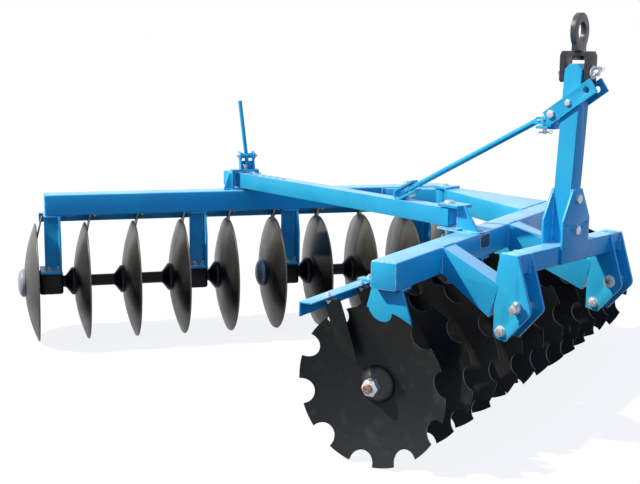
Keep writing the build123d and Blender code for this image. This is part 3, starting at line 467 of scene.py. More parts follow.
def applied(piece, modifier):
    alone(piece)
    bpy.ops.object.modifier_apply(modifier=modifier.name)
    return piece


def cut(piece, cutter, operation="DIFFERENCE"):
    """The piece less its cutter, or what the two have in common."""
    change = piece.modifiers.new("cut", "BOOLEAN")
    change.operation, change.object, change.solver = operation, cutter, "EXACT"
    applied(piece, change)
    drop(cutter)
    return piece


def bevelled(piece, width, segments=2, angle=30):
    """Edges sharper than the angle rounded off."""
    edge = piece.modifiers.new("edges", "BEVEL")
    edge.width, edge.segments = width, segments
    edge.limit_method, edge.angle_limit = "ANGLE", math.radians(angle)
    edge.use_clamp_overlap = True
    return applied(piece, edge)


def slab(x, y, z, edge=0.0015, segments=2):
    """Bar or plate between (low, high) pairs, its edges rounded off."""
    deselect()
    middle = [(pair[0] + pair[1]) / 2 for pair in (x, y, z)]
    bpy.ops.mesh.primitive_cube_add(size=1, location=middle, scale=[pair[1] - pair[0] for pair in (x, y, z)])
    return bevelled(seated(bpy.context.object), edge, segments)


def round_bar(radius, low, high, edge=0.001, sides=32):
    """Round bar along Z, its end edges rounded off."""
    deselect()
    bpy.ops.mesh.primitive_cylinder_add(vertices=sides, radius=radius, depth=high - low,
                                        location=(0, 0, (low + high) / 2))
    return bevelled(seated(bpy.context.object), edge, 2, 50)


def turned(profile, steps=48):
    """Piece turned about the X axis from (along, radius) points."""
    piece = drawn([Vector((along, 0, radius)) for along, radius in profile])
    bpy.ops.mesh.spin(steps=steps, angle=2 * math.pi, center=(0, 0, 0), axis=(1, 0, 0))
    bpy.ops.mesh.select_all(action="SELECT")
    bpy.ops.mesh.remove_doubles(threshold=0.00001)
    bpy.ops.mesh.normals_make_consistent(inside=False)
    return done(piece)


def joined(pieces):
    """Several objects as one."""
    alone(*pieces)
    if len(pieces) > 1:
        bpy.ops.object.join()
    return pieces[0]


def placed(piece, matrix):
    piece.data.transform(matrix)
    return piece


def copies(pattern, places):
    """The pattern, repeated at each place as one object; the pattern itself stays for more."""
    return joined([placed(linked(pattern.name, pattern.data.copy()), place) for place in places])


def path(place, points):
    return [place @ Vector(point) for point in points]


def around(u, v):
    """Corners of a rectangle between the (low, high) pairs, back to the first."""
    return [(u[0], v[0]), (u[1], v[0]), (u[1], v[1]), (u[0], v[1]), (u[0], v[0])]


def aimed(point, direction, turn=0.0):
    """Place whose Z points in that direction."""
    look = Vector(direction).normalized().to_track_quat("Z", "Y").to_matrix().to_4x4()
    return move(Vector(point)) @ look @ turn_by(turn, "Z")


def mark_dust_and_sheen(piece):
    """A mark on each face that looks up, where dust settles and a sky reflection is painted: 0 on walls and
    undersides, 1 on tops.
    """
    mark = piece.data.attributes.new("dust_and_sky_sheen", "FLOAT", "FACE")
    for face in piece.data.polygons:
        mark.data[face.index].value = max(0.0, min(1.0, (face.normal.z - 0.6) / 0.3))


def finished(piece, name, body, material, smooth=32, nodes=()):
    """Last step of a piece: name, finish, smooth shading, the body it rides on, the nodes it stands for."""
    piece.name = name
    if material is not None:
        piece.data.materials.clear()
        piece.data.materials.append(material)
    if material == BLUE:
        mark_dust_and_sheen(piece)
    alone(piece)
    bpy.ops.object.shade_smooth_by_angle(angle=math.radians(smooth))
    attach(piece, body)
    if nodes:
        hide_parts(*nodes)
    return piece


def softened(name, body, nodes, width=0.002, material=None, segments=2):
    """Cut and welded steel: its nodes copied, merged, their flats made whole and their edges rounded."""
    solids = []
    for node in nodes:
        copy = linked(name, frame["nodes"][node].data.copy())
        edit(copy)
        bpy.ops.mesh.remove_doubles(threshold=0.00002)
        bpy.ops.mesh.dissolve_limited(angle_limit=math.radians(0.5))
        done()
        solids.append(bevelled(copy, width, segments, 28))
    return finished(joined(solids), name, body, material or BLUE, nodes=nodes)


def bead(name, body, runs, radius=0.004):
    """Weld beads along runs of points: half-buried cords whose ripples follow the welder's travel."""
    lines = []
    for run in runs:
        for a, b in zip(run, run[1:]):
            count = max(3, int((b - a).length / (radius * 0.75)))
            ripples = [1.0 + 0.16 * (-1) ** k + 0.08 * math.sin(1.7 * k) for k in range(count + 1)]
            ripples[0] = ripples[-1] = 0.45
            lines.append([(a.lerp(b, k / count), radius * ripple) for k, ripple in enumerate(ripples)])
    return finished(cord(name, lines, 1.0, 1), name, body, WELD, 60)


# ---------------------------------------------------------------- fasteners, each modelled once along Z
def hex_head(across, height):
    """Hexagon with its corners chamfered, its seat at z = 0."""
    deselect()
    bpy.ops.mesh.primitive_cylinder_add(vertices=6, radius=across / math.sqrt(3), depth=height,
                                        location=(0, 0, height / 2))
    head = seated(bpy.context.object)
    cone = turned([(-height, across), (-height, 0), (height * 1.35, 0), (height * 0.78, across * 0.56),
                   (0, across)], 48)
    placed(cone, turn_by(-90, "Y"))
    head.name = "hex_head"
    return cut(head, cone, "INTERSECT")


def bolt(thread, across=None, washer=True, stem=0.4, head_h=None):
    """Hexagon bolt or nut on its washer, the thread's end standing out by stem times its diameter."""
    across = across or 1.55 * thread
    base = 0.12 * thread if washer else 0.0
    pieces = [placed(hex_head(across, head_h or 0.65 * thread), move((0, 0, base)))]
    top = base + (head_h or 0.65 * thread)
    if stem:
        pieces.append(round_bar(thread * 0.48, top - 0.001, top + stem * thread, thread * 0.08, 16))
    if washer:
        pieces.append(round_bar(1.05 * thread, 0, base, base * 0.3, 24))
    return joined(pieces)


BOLT_12 = bolt(0.012)


def fasteners(name, body, pattern, places):
    return finished(copies(pattern, places), name, body, ZINC, 30)


# ================================================================ discs
def on_sphere(radius, offset):
    """Point of the pressed plate at that radius: offset 1 on the round side, -1 on the hollow side."""
    sphere = SPHERE_R + offset * DISC_TH / 2
    return (BOWL - SPHERE_R + math.sqrt(sphere ** 2 - radius ** 2), radius)


GROUND = 0.003  # width of the ground bevel on a disc's rim


def disc_blank(steps):
    """Pressed disc with its round side towards +X and the round side's rim ground to an edge."""
    rim = DISC_D / 2
    radii = [BORE_R + (rim - GROUND - BORE_R) * k / 7 for k in range(8)]
    profile = [on_sphere(r, 1) for r in radii]
    profile += [(on_sphere(rim, -1)[0] + 0.0012, rim), on_sphere(rim, -1)]
    profile += [on_sphere(r, -1) for r in reversed(radii)]
    return turned(profile + profile[:1], steps)


def notched(disc, turn):
    """Round notches cut in the rim."""
    cutters = []
    for k in range(NOTCHES):
        angle = math.radians(turn + k * 360 / NOTCHES)
        reach = DISC_D / 2 - NOTCH_DEPTH + NOTCH_R
        cutter = round_bar(NOTCH_R, -2 * BOWL, 2 * BOWL, 0.0001, 40)
        placed(cutter, move((0, reach * math.cos(angle), reach * math.sin(angle))) @ turn_by(90, "Y"))
        cutters.append(cutter)
    return cut(disc, joined(cutters))


def with_edge(disc, steel):
    """The disc's steel, and bare bright steel on its ground rim and on the walls of its notches."""
    disc.data.materials.clear()
    disc.data.materials.append(steel)
    disc.data.materials.append(EDGE)
    for face in disc.data.polygons:
        reach = math.hypot(face.center.y, face.center.z)
        wall = abs(face.normal.x) < 0.5 and reach > DISC_D / 2 - NOTCH_DEPTH - 0.01
        face.material_index = 1 if wall else 0
    return disc


def gang_place(word, side, number):
    """Place of a gang's disc: its rim plane at X = 0, its round side towards +X."""
    first = 0 if side == "right" else DISCS_PER_GANG
    if word == "front":
        along, turn = first + number, 0.0
    else:
        along, turn = first + DISCS_PER_GANG - 1 - number, 180.0
    return ROW[word] @ move((along * DISC_PITCH, 0, AXLE_Z)) @ turn_by(turn, "Z")


def casting_seat(side):
    """Where a casting bears on a disc, out to its lip: 1 on the round side, -1 on the hollow side."""
    lip = FLARE_D / 2
    seat = [on_sphere(r, side) for r in (BORE_R, lip * 0.6, lip)]
    return lip, seat, seat[-1][0]


def spool_profile(length, bay):
    """Cast spool from one disc's round side to the hollow side of the next, length away; bay is its room."""
    (lip, seat, start), tube = casting_seat(1), SPOOL_D / 2
    flare = min(FLARE_LEN, bay)
    step = [(start + FLARE_LIP - 0.002, lip), (start + FLARE_LIP, lip - 0.0012)]
    foot = start + flare
    cone = [(foot + along, tube + rise) for along, rise in ((-0.006, 0.0065), (-0.002, 0.0022),
                                                            (0.003, 0.0004), (0.007, 0.0))]
    end = [(length + on_sphere(tube, -1)[0], tube), (length + on_sphere(BORE_R, -1)[0], BORE_R)]
    return seat + step + cone + end + seat[:1]


def cap_profile():
    """Domed cap on the last disc's round side."""
    lip, seat, start = casting_seat(1)
    dome = [(start + FLARE_LIP * 0.5 + (CAP_LEN - FLARE_LIP * 0.5) * math.sin(math.radians(a)),
             BORE_R * 0.5 + (lip - BORE_R * 0.5) * math.cos(math.radians(a))) for a in range(0, 91, 9)]
    return seat + dome + [(start + CAP_LEN, 0.0), (start, 0.0)] + seat[:1]


def bell_profile():
    """Bell washer in the first disc's hollow side, a rounded cone with a flat for the nut."""
    lip, seat, foot = casting_seat(-1)
    rise, fall = BELL_LEN - FLARE_LIP * 0.4, lip - (NUT_AF / 2 + 0.006)
    curve = [(foot - FLARE_LIP * 0.4 - rise * (0.72 * share + 0.28 * math.sin(share * math.pi / 2)),
              lip - fall * (0.60 * share + 0.40 * share ** 2)) for share in (k / 8 for k in range(9))]
    return seat + [(foot - FLARE_LIP * 0.2, lip + 0.0003)] + curve + [(foot - BELL_LEN, BORE_R)] + seat[:1]


NUT_SEAT = on_sphere(FLARE_D / 2, -1)[0] - BELL_LEN


def end_nut():
    """Chamfered nut on the shaft's end, seated at NUT_SEAT and facing -X."""
    nut = hex_head(NUT_AF, NUT_LEN)
    return placed(nut, move((NUT_SEAT, 0, 0)) @ turn_by(-90, "Y"))


def shaft_end():
    """Threaded end of the shaft beyond its nut, with a countersunk middle and a chamfer."""
    r, end = SHAFT_W / 2, NUT_SEAT - NUT_LEN - SHAFT_TAIL
    threads = [(end + 0.002 + 0.0015 * k, r - 0.001 * (k % 2)) for k in range(9)]
    tip = [(end + 0.004, 0.0), (end, 0.004), (end, r - 0.002)]
    return turned(tip + threads + [(NUT_SEAT, r), (NUT_SEAT, 0.0)], 32)


def gangs():
    rear_disc = with_edge(disc_blank(96), REAR_DISC)
    long_spool = turned(spool_profile(DISC_PITCH, FLARE_LEN), 40)
    room = DISC_PITCH - BEARING_OFFSET - BEARING_LEN / 2 - BEARING_PLAY - on_sphere(FLARE_D / 2, 1)[0]
    bay_spool = turned(spool_profile(DISC_PITCH, room), 40)
    cap, bell = turned(cap_profile(), 48), turned(bell_profile(), 48)
    nut, tail = end_nut(), shaft_end()
    front_discs = [with_edge(notched(disc_blank(96), NOTCH_PHASE + NOTCH_STEP * k), FRONT_DISC)
                   for k in range(DISCS_PER_GANG)]
    for word in ("front", "rear"):
        for side in ("right", "left"):
            gang = word + "_" + side
            body = gang + "_gang"
            places = [gang_place(word, side, k) for k in range(DISCS_PER_GANG)]
            for k, place in enumerate(places):
                disc = copies(front_discs[k] if word == "front" else rear_disc, [place])
                finished(disc, f"{gang}_disc_{k + 1}", body, None, 40)
            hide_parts(gang + "_discs")
            pieces = [copies(bay_spool if DISCS_PER_GANG - 2 - k in BEARING_BAYS else long_spool, [place])
                      for k, place in enumerate(places[:-1])]
            cap_paint = CAP if word == "rear" else CASTING
            finished(copies(cap, places[-1:]), gang + "_end_cap", body, cap_paint, 40)
            finished(copies(bell, places[:1]), gang + "_bell_washer", body, BELL, 40)
            finished(joined(pieces), gang + "_spool_set", body, CASTING, 40, [gang + "_spools"])
            finished(copies(nut, places[:1]), gang + "_end_nut", body, ZINC, 30, [gang + "_nut"])
            finished(copies(tail, places[:1]), gang + "_shaft_end", body, SHAFT, 40,
                     [gang + "_shaft"])
    drop(*front_discs, rear_disc, long_spool, bay_spool, cap, bell, nut, tail)


def bearing_ts(word):
    """Bearing middles along a row."""
    return sorted((first + DISCS_PER_GANG - 1 - bay) * DISC_PITCH - BEARING_OFFSET if word == "front"
                  else (first + bay) * DISC_PITCH + BEARING_OFFSET
                  for first in (0, DISCS_PER_GANG) for bay in BEARING_BAYS)


# ================================================================ bearings and hangers
def housing():
    """Cast bearing housing along X round the spool, with end rings and lower ribs; its grease plug is fitted with
    the hangers.
    """
    half, w, h = BEARING_LEN / 2, BEARING_W / 2, BEARING_H / 2
    shell = slab((-half, half), (-w, w), (-h, h), 0.012, 3)
    rings = []
    for side in (-1, 1):
        face = side * half
        bore = SPOOL_D / 2 + 0.001
        steps = ((0.006, bore), (0.006, w * 0.9), (0.0005, w * 0.86), (0.0005, w * 0.62), (0.003, w * 0.58),
                 (0.003, bore))
        rings.append(turned([(face - side * sunk, radius) for sunk, radius in steps], 40))
    ribs = [slab((x - 0.004, x + 0.004), (-w + 0.001, w - 0.001), (-h + 0.001, h * 0.4), 0.003)
            for x in (-0.030, 0, 0.030)]
    return joined([shell] + rings + ribs)


def bearings_and_hangers():
    shell = housing()
    plug, foot_bolt = bolt(0.010, washer=False, stem=0), bolt(0.018)
    foot_z = AXLE_Z + BEARING_H / 2
    for word in ("front", "rear"):
        body = word + "_frame"
        row, ts, away = ROW[word], bearing_ts(word), AWAY[word]
        finished(copies(shell, [row @ move((t, 0, AXLE_Z)) for t in ts]),
                 word + "_bearing_housings", body, CASTING, 35, [word + "_bearings"])
        softened(word + "_hanger_plates", body, [word + "_hangers"], 0.0025)
        bolts, plugs, runs = [], [], []
        for t in ts:
            middle = t + away * HANGER_SHIFT
            for x in (middle - FOOT_BOLT[0], middle + FOOT_BOLT[0]):
                for y in (-FOOT_BOLT[1], FOOT_BOLT[1]):
                    bolts.append(row @ move((x, y, foot_z + HANGER_WALL)))
            plug_at = (t - away * BEARING_LEN / 2, 0.0, AXLE_Z + BEARING_H * 0.36)
            plugs.append(row @ aimed(plug_at, (-away, 0, 0)))
            inner = middle + away * (HANGER_W / 2 - HANGER_SIDE_TH)
            outer = middle + away * HANGER_W / 2
            ends = (middle - HANGER_W / 2, middle + HANGER_W / 2)
            heights = (foot_z + HANGER_WALL, BAR_BOTTOM - HANGER_WALL)
            faces = (-HANGER_WALL / 2, HANGER_WALL / 2)
            runs += [path(row, [(inner, y, z) for z in heights]) for y in faces]
            runs += [path(row, [(x, y, z) for x in ends]) for y in faces for z in heights]
            runs.append(path(row, [(outer, -HANGER_FRONT_TOP, BAR_BOTTOM), (outer, BAR_W / 2, BAR_BOTTOM)]))
            runs.append(path(row, [(outer, -HANGER_FRONT_LOW, foot_z), (outer, HANGER_REAR_LOW, foot_z)]))
        fasteners(word + "_foot_bolts", body, foot_bolt, bolts)
        fasteners(word + "_grease_plugs", body, plug, plugs)
        bead(word + "_hanger_welds", body, runs)
    drop(shell, plug, foot_bolt)


# ================================================================ toolbars
def toolbars():
    """Square tube with rolled corners, a plate welded into each end."""
    for word in ("front", "rear"):
        body, row = word + "_frame", ROW[word]
        t0, t1 = BAR_T[word]
        half, mid, inset, weld = BAR_W / 2, BAR_BOTTOM + BAR_W / 2, 0.003, BAR_W / 2 - 0.004
        tube = slab((t0 + BAR_CAP * 0.5, t1 - BAR_CAP * 0.5), (-half, half), (BAR_BOTTOM, BAR_TOP),
                    BAR_CORNER, 4)
        ends = [slab((t, t + BAR_CAP), (inset - half, half - inset), (BAR_BOTTOM + inset, BAR_TOP - inset))
                for t in (t0, t1 - BAR_CAP)]
        piece = placed(joined([tube] + ends), row)
        finished(piece, word + "_square_bar", body, BLUE, 40, [word + "_toolbar"])
        runs = [path(row, [(t, y, z) for y, z in around((-weld, weld), (mid - weld, mid + weld))])
                for t in (t0 + inset, t1 - inset)]
        bead(word + "_bar_end_welds", body, runs, 0.0032)


# ================================================================ scrapers
def blade_pattern(side):
    """Scraper blade whose top is bent over through a wide radius to bolt under the scraper bar; row axes."""
    top = BAR_BOTTOM - ARM_TH - ANGLE_TH
    a = Vector((side * BLADE_OUT, BLADE_Y, top - BLADE_TH / 2))
    b = Vector((-side * BLADE_IN, BLADE_Y - BLADE_LEAN, BLADE_TIP_Z))
    fall = (b - a).normalized()
    flange = Vector((side * BLADE_FLANGE, 0, 0))
    bend = 0.016
    start, end = a + flange.normalized() * bend, a + fall * bend
    line = [a + flange, start]
    line += [start.lerp(a, k / 5).lerp(a.lerp(end, k / 5), k / 5) for k in range(1, 5)]
    line += [end, a.lerp(b, 0.5), b]
    piece = drawn([point - Vector((0, BLADE_W / 2, 0)) for point in line])
    bpy.ops.mesh.extrude_edges_move(TRANSFORM_OT_translate={"value": Vector((0, BLADE_W, 0))})
    done()
    for corner in piece.data.vertices:
        if (corner.co - b).length < BLADE_W and corner.co.y > b.y and corner.co.z < BLADE_TIP_Z + 0.01:
            corner.co -= fall * BLADE_SLANT
    edit(piece)
    bpy.ops.mesh.normals_make_consistent(inside=False)
    done()
    plate = piece.modifiers.new("plate", "SOLIDIFY")
    plate.thickness, plate.offset = BLADE_TH, 0.0
    return bevelled(applied(piece, plate), 0.0008, 1, 50)


def scrapers():
    top = BAR_BOTTOM - ARM_TH
    for word in ("front", "rear"):
        body, row, away = word + "_frame", ROW[word], AWAY[word]
        blade = blade_pattern(away)
        paint = BLADE if word == "front" else REAR_BLADE
        finished(copies(blade, [row @ move((k * DISC_PITCH, 0, 0)) for k in range(ROW_DISCS)]),
                 word + "_scraper_blades", body, paint, 30, [word + "_scrapers"])
        drop(blade)
        softened(word + "_scraper_angle", body, [word + "_scraper_bar"], 0.0015)
        softened(word + "_scraper_bar_arms", body, [word + "_scraper_arms"], 0.0015)
        over, under = [], []
        for k in range(ROW_DISCS):
            x = k * DISC_PITCH + away * (BLADE_OUT + BLADE_FLANGE * 0.62)
            over.append(row @ aimed((x, BLADE_Y, top), (0, 0, 1), 20 * k))
            under.append(row @ aimed((x, BLADE_Y, top - ANGLE_TH - BLADE_TH), (0, 0, -1), 30 * k))
        for t in bearing_ts(word):
            x = t + away * HANGER_SHIFT + HANGER_W / 2 + ARM_GAP + ARM_W / 2
            under.append(row @ aimed((x, BLADE_Y, top - ANGLE_TH), (0, 0, -1), 10))
            over.append(row @ aimed((x, BLADE_Y, BAR_BOTTOM), (0, 0, 1), 40))
        fasteners(word + "_scraper_bolts", body, BOLT_12, over + under)


# ================================================================ frame of plate and tube
def frame_plates():
    made = {}
    for name, body, nodes, width, segments in (
            ("front_pull_arm", "front_frame", ["front_arm"], 0.005, 3),
            ("rear_pull_arm", "rear_frame", ["rear_arm"], 0.005, 3),
            ("hinge_plates", "front_frame", ["hinge_bracket"], 0.002, 2),
            ("front_pivot_plates", "front_frame", ["bar_bracket"], 0.002, 2),
            ("angle_bar_tube", "angle_bar", ["angle_bar"], 0.0035, 3),
            ("bar_sleeve", "rear_frame", ["lock_sleeve"], 0.002, 2),
            ("lock_plates", "rear_frame", ["lock_bracket"], 0.0015, 2),
            ("draft_beam", "front_frame", ["hitch_beam"], 0.005, 3),
            ("draft_braces", "front_frame", ["hitch_braces"], 0.005, 3),
            ("link_plates", "front_frame", ["hitch_plates_right", "hitch_plates_left"], 0.0018, 2),
            ("mast_tube", "front_frame", ["mast"], 0.004, 3),
            ("mast_gussets", "front_frame", ["mast_plates"], 0.0018, 2),
            ("mast_strap_bars", "front_frame", ["mast_straps"], 0.0018, 2),
            ("rod_clevis_block", "front_frame", ["rod_clevis"], 0.0018, 2),
            ("strap_over_bar", "angle_bar", ["rod_bracket"], 0.0015, 2),
            ("stay_rod", "brace_rod", ["brace_rod"], 0.0015, 2),
            ("lever_and_shaft", "rear_frame", ["lock_lever"], 0.002, 2)):
        made[name] = softened(name, body, nodes, width, segments=segments)
    y = (BEAM_FRONT + BEAM_BACK) / 2
    bored(made["mast_gussets"], [MACHINE @ aimed((HITCH_MID + x, y, z), (0, 1, 0)) for x, z in GUSSET_HOLES],
          GUSSET_HOLE_R, HOLE_REACH)
    softened("tilting_yoke", "top_yoke", ["top_yoke"], 0.003, YOKE, 3)
    softened("swivel_ring", "top_eye", ["top_eye"], 0.005, RING, 3)


# ================================================================ pins, bolts and holes
def wire(points, thickness):
    """Bent wire through the points."""
    return cord("wire", [[(point, 1.0) for point in points]], thickness / 2, 2)


def loop(radius, turns=1.0, rise=0.0, steps=28):
    """Points on a circle or a helix about Z."""
    angles = [2 * math.pi * k / steps for k in range(int(steps * turns) + 1)]
    return [Vector((radius * math.cos(angle), radius * math.sin(angle), rise * k / steps))
            for k, angle in enumerate(angles)]


def linch_pin():
    """Linch pin along Z through a pin at the origin: shank, round head, spring ring folded along X."""
    shank = round_bar(0.0045, -0.026, 0.018, 0.0015, 16)
    ball = [(-0.008, 0.0), (-0.008, 0.006), (-0.005, 0.0095), (0.004, 0.0105), (0.008, 0.008), (0.009, 0.0)]
    head = placed(turned(ball, 24), move((0, 0, 0.024)) @ turn_by(90, "Z"))
    tilt = move((-0.013, 0, 0.010)) @ turn_by(90, "X")
    return joined([shank, head, wire(path(tilt, loop(0.016)), 0.0032)])


def cotter():
    """Bent wire pin along X through a pin at the origin, its eye at +X."""
    return wire([Vector((x, 0.0, z)) for x, z in (
        (-0.026, 0.0015), (0.016, 0.0015), (0.022, 0.005), (0.029, 0.004), (0.032, 0.0), (0.029, -0.004),
        (0.022, -0.005), (0.016, -0.0015), (-0.022, -0.0015), (-0.030, -0.009))], 0.003)


def bored(piece, holes, radius, depth):
    """Round holes cut through a piece at places whose Z runs along the hole, to that depth both ways."""
    for place in holes:
        cut(piece, placed(round_bar(radius, -depth, depth, 0.0001, 24), place))
    return piece


def link_pins():
    """Lower link pins with collars, washers, nuts and linch pins, and the second bolt of each pair."""
    collar = round_bar(0.019, 0.0, 0.024, 0.003, 32)
    washer, nut = round_bar(0.025, 0.0, 0.004, 0.001, 32), hex_head(0.036, 0.010)
    clip = linch_pin()
    stay = bolt(0.020, across=0.032, stem=0, head_h=0.014)
    stay_nut = bolt(0.020, across=0.030, stem=0.45)
    shank = round_bar(0.0095, 0.0, LINK_GAP, 0.0005, 20)
    for side, outward in (("right", -1), ("left", 1)):
        low = PAIR_X[side]
        outer, inner = (low, low + PAIR_W) if outward < 0 else (low + PAIR_W, low)
        out = MACHINE @ aimed((outer, LINK.y, LINK.z), (outward, 0, 0))
        back = MACHINE @ aimed((inner, LINK.y, LINK.z), (-outward, 0, 0))
        softened("link_pin_bar_" + side, "front_frame", ["link_pin_" + side], 0.0025, ZINC)
        across = MACHINE @ move((outer + outward * (LINK_PIN_OVER - 0.010), LINK.y, LINK.z))
        ends = [copies(collar, [out]), copies(washer, [back]), copies(nut, [back @ move((0, 0, 0.004))]),
                copies(clip, [across @ turn_by(90 - 90 * outward, "Z") @ turn_by(-24, "X")])]
        finished(joined(ends), "link_pin_fittings_" + side, "front_frame", ZINC, 35)
        parts = [copies(stay, [MACHINE @ aimed((outer, *STAY_BOLT), (outward, 0, 0), 10)]),
                 copies(stay_nut, [MACHINE @ aimed((inner, *STAY_BOLT), (-outward, 0, 0), 25)]),
                 copies(shank, [MACHINE @ aimed((low + HITCH_PLATE_TH, *STAY_BOLT), (1, 0, 0))])]
        finished(joined(parts), "stay_bolt_" + side, "front_frame", ZINC, 35)
    drop(collar, washer, nut, clip, stay, stay_nut, shank)


def mast_fittings():
    """Bolts of the mast's plates and straps, the yoke pin and its fittings."""
    front, rear, middle = BEAM_FRONT - PLATE_TH, BEAM_BACK + PLATE_TH, HITCH_MID + 0.001
    places = [aimed((middle, front, z), (0, -1, 0), turn) for z, turn in MAST_BOLTS]
    places += [aimed((middle, rear, bolt_at[0]), (0, 1, 0), 20) for bolt_at in MAST_BOLTS]
    plain = bolt(0.022, across=0.032, washer=False, stem=0, head_h=0.012)
    fasteners("mast_plate_bolts", "front_frame", plain, [MACHINE @ place for place in places])
    head = bolt(0.018, across=0.027, washer=False, stem=0)
    small, nut = bolt(0.014, across=0.021, washer=False, stem=0), bolt(0.016, stem=0.6)
    face = MAST_W / 2 + STRAP_TH
    heads, nuts = ([MACHINE @ aimed((HITCH_MID + end * face, *place), (end, 0, 0), 15)
                    for place in STRAP_BOLTS] for end in (-1, 1))
    made = [copies(head, heads[:1]), copies(small, heads[1:]), copies(nut, nuts)]
    finished(joined(made), "strap_bolts", "front_frame", ZINC, 32)
    softened("yoke_cross_pin", "front_frame", ["yoke_pin"], 0.0015, ZINC)
    low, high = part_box("yoke_pin")
    middle, leg = (low[0] + high[0]) / 2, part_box("top_yoke")[0][1]
    washer, clip = round_bar(0.025, 0.0, 0.004, 0.001, 36), linch_pin()
    end = move((middle, low[1] + 0.012, (low[2] + high[2]) / 2))
    made = [copies(washer, [aimed((middle, leg - 0.0003, end.translation.z), (0, -1, 0))]),
            copies(clip, [end @ turn_by(62, "Y") @ turn_by(75, "Z")])]
    finished(joined(made), "yoke_pin_fittings", "front_frame", ZINC, 35)
    drop(plain, head, small, nut, washer, clip)


def pivot_fittings():
    """Upright pins of the clevis, hinge and angle bar, the U strap's bolt, the angle bar's closed nose."""
    key = cotter()
    washer = round_bar(0.0245, 0.0, 0.003, 0.0008, 32)
    for pin, edge, rise, turn, name, smooth in (
            ("clevis", 0.0012, 0.006, -35, "clevis_cotter", 40),
            ("hinge", 0.0015, 0.008, 40, "hinge_pin_fittings", 35),
            ("bar", 0.0015, 0.008, -30, "bar_pin_fittings", 35)):
        softened(pin + "_cross_pin", "front_frame", [pin + "_pin"], edge, ZINC)
        low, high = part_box(pin + "_pin")
        x, y = (low[0] + high[0]) / 2, (low[1] + high[1]) / 2
        made = [copies(key, [move((x, y, low[2] + rise)) @ turn_by(turn, "Z")])]
        if pin != "clevis":
            made.append(copies(washer, [move((x, y, high[2] - 0.0092))]))
        finished(joined(made), name, "front_frame", ZINC, smooth)
    softened("u_strap_bolt", "angle_bar", ["rod_bolt"], 0.001, ZINC)
    low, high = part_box("rod_bolt")
    middle = (Vector(low) + Vector(high)) / 2
    top = Vector(joints["brace_rod_swing"]["pos_m"])
    level = Vector((middle.x - top.x, middle.y - top.y, 0)).normalized()
    slope = (middle - top - level * ROD_BEND).normalized()
    up = slope.cross(Vector((0, 0, 1)).cross(level))
    nut = bolt(0.016, across=0.026, stem=0)
    reach = U_GAP / 2 + U_WALL
    finished(copies(nut, [aimed(middle + up * reach, up, 10), aimed(middle - up * reach, -up, 25)]),
             "u_strap_nuts", "angle_bar", ZINC, 30)
    inner = TUBE_W / 2 - TUBE_WALL
    nose = slab((-BAR_NOSE, -BAR_NOSE + 0.004), (-inner - 0.004, inner + 0.004),
                (TUBE_Z + TUBE_WALL - 0.004, TUBE_TOP - TUBE_WALL + 0.004), 0.0005, 1)
    finished(placed(nose, BAR), "angle_bar_nose", "angle_bar", BLUE, 32)
    drop(key, washer, nut)


def lock_fittings():
    """Bosses and cross tube of the lock's lever, the spring round its pin, the pin itself."""
    softened("lock_bolt_pin", "rear_frame", ["lock_pin"], 0.0015, ZINC)
    lock = SLEEVE @ move((LOCK_SHIFT, 0, 0))
    inner, proud = LOCK_HALF - LOCK_TH, 0.001
    bosses = [placed(round_bar(0.020, -proud, LOCK_TH + proud, 0.0015),
                     lock @ aimed((x, *LOCK_PIVOT), (1, 0, 0))) for x in (-LOCK_HALF, inner)]
    cross = round_bar(0.0125, -inner, inner, 0.001, 28)
    bosses.append(placed(cross, lock @ aimed((0, *LOCK_PIVOT), (1, 0, 0))))
    finished(joined(bosses), "lever_bosses", "rear_frame", BLUE, 35)
    ends = [copies(BOLT_12, [lock @ aimed((end * (LOCK_HALF + proud), *LOCK_PIVOT), (end, 0, 0))])
            for end in (-1, 1)]
    coil = placed(wire(loop(0.0135, 5.0, 0.0046), 0.0026), SLEEVE @ move((0, 0, WEB_TOP + 0.001)))
    finished(joined(ends + [coil]), "lock_spring_and_bolts", "rear_frame", ZINC, 35)


def name_plate():
    """Blank plate with a pale rim on the front toolbar, held by a rivet in each corner."""
    (left, right), (low, high) = NAME_PLATE_X, NAME_PLATE_Z
    row, face, rim, margin = ROW["front"], -BAR_W / 2, 0.0025, 0.005
    deep = face + 0.0005
    plate = slab((left, right), (face - 0.0012, deep), (low, high), 0.0004, 1)
    finished(placed(plate, row), "blank_plate", "front_frame", PLATE, 30)
    back = slab((left - rim, right + rim), (face - 0.0007, deep), (low - rim, high + rim), 0.0003, 1)
    finished(placed(back, row), "blank_plate_rim", "front_frame", ZINC, 30)
    rivet = round_bar(0.0028, 0.0, 0.0022, 0.0008, 16)
    corners = [row @ aimed((x, face - 0.001, z), (0, -1, 0))
               for x in (left + margin, right - margin) for z in (low + margin, high - margin)]
    finished(copies(rivet, corners), "plate_rivets", "front_frame", ZINC, 40)
    drop(rivet)


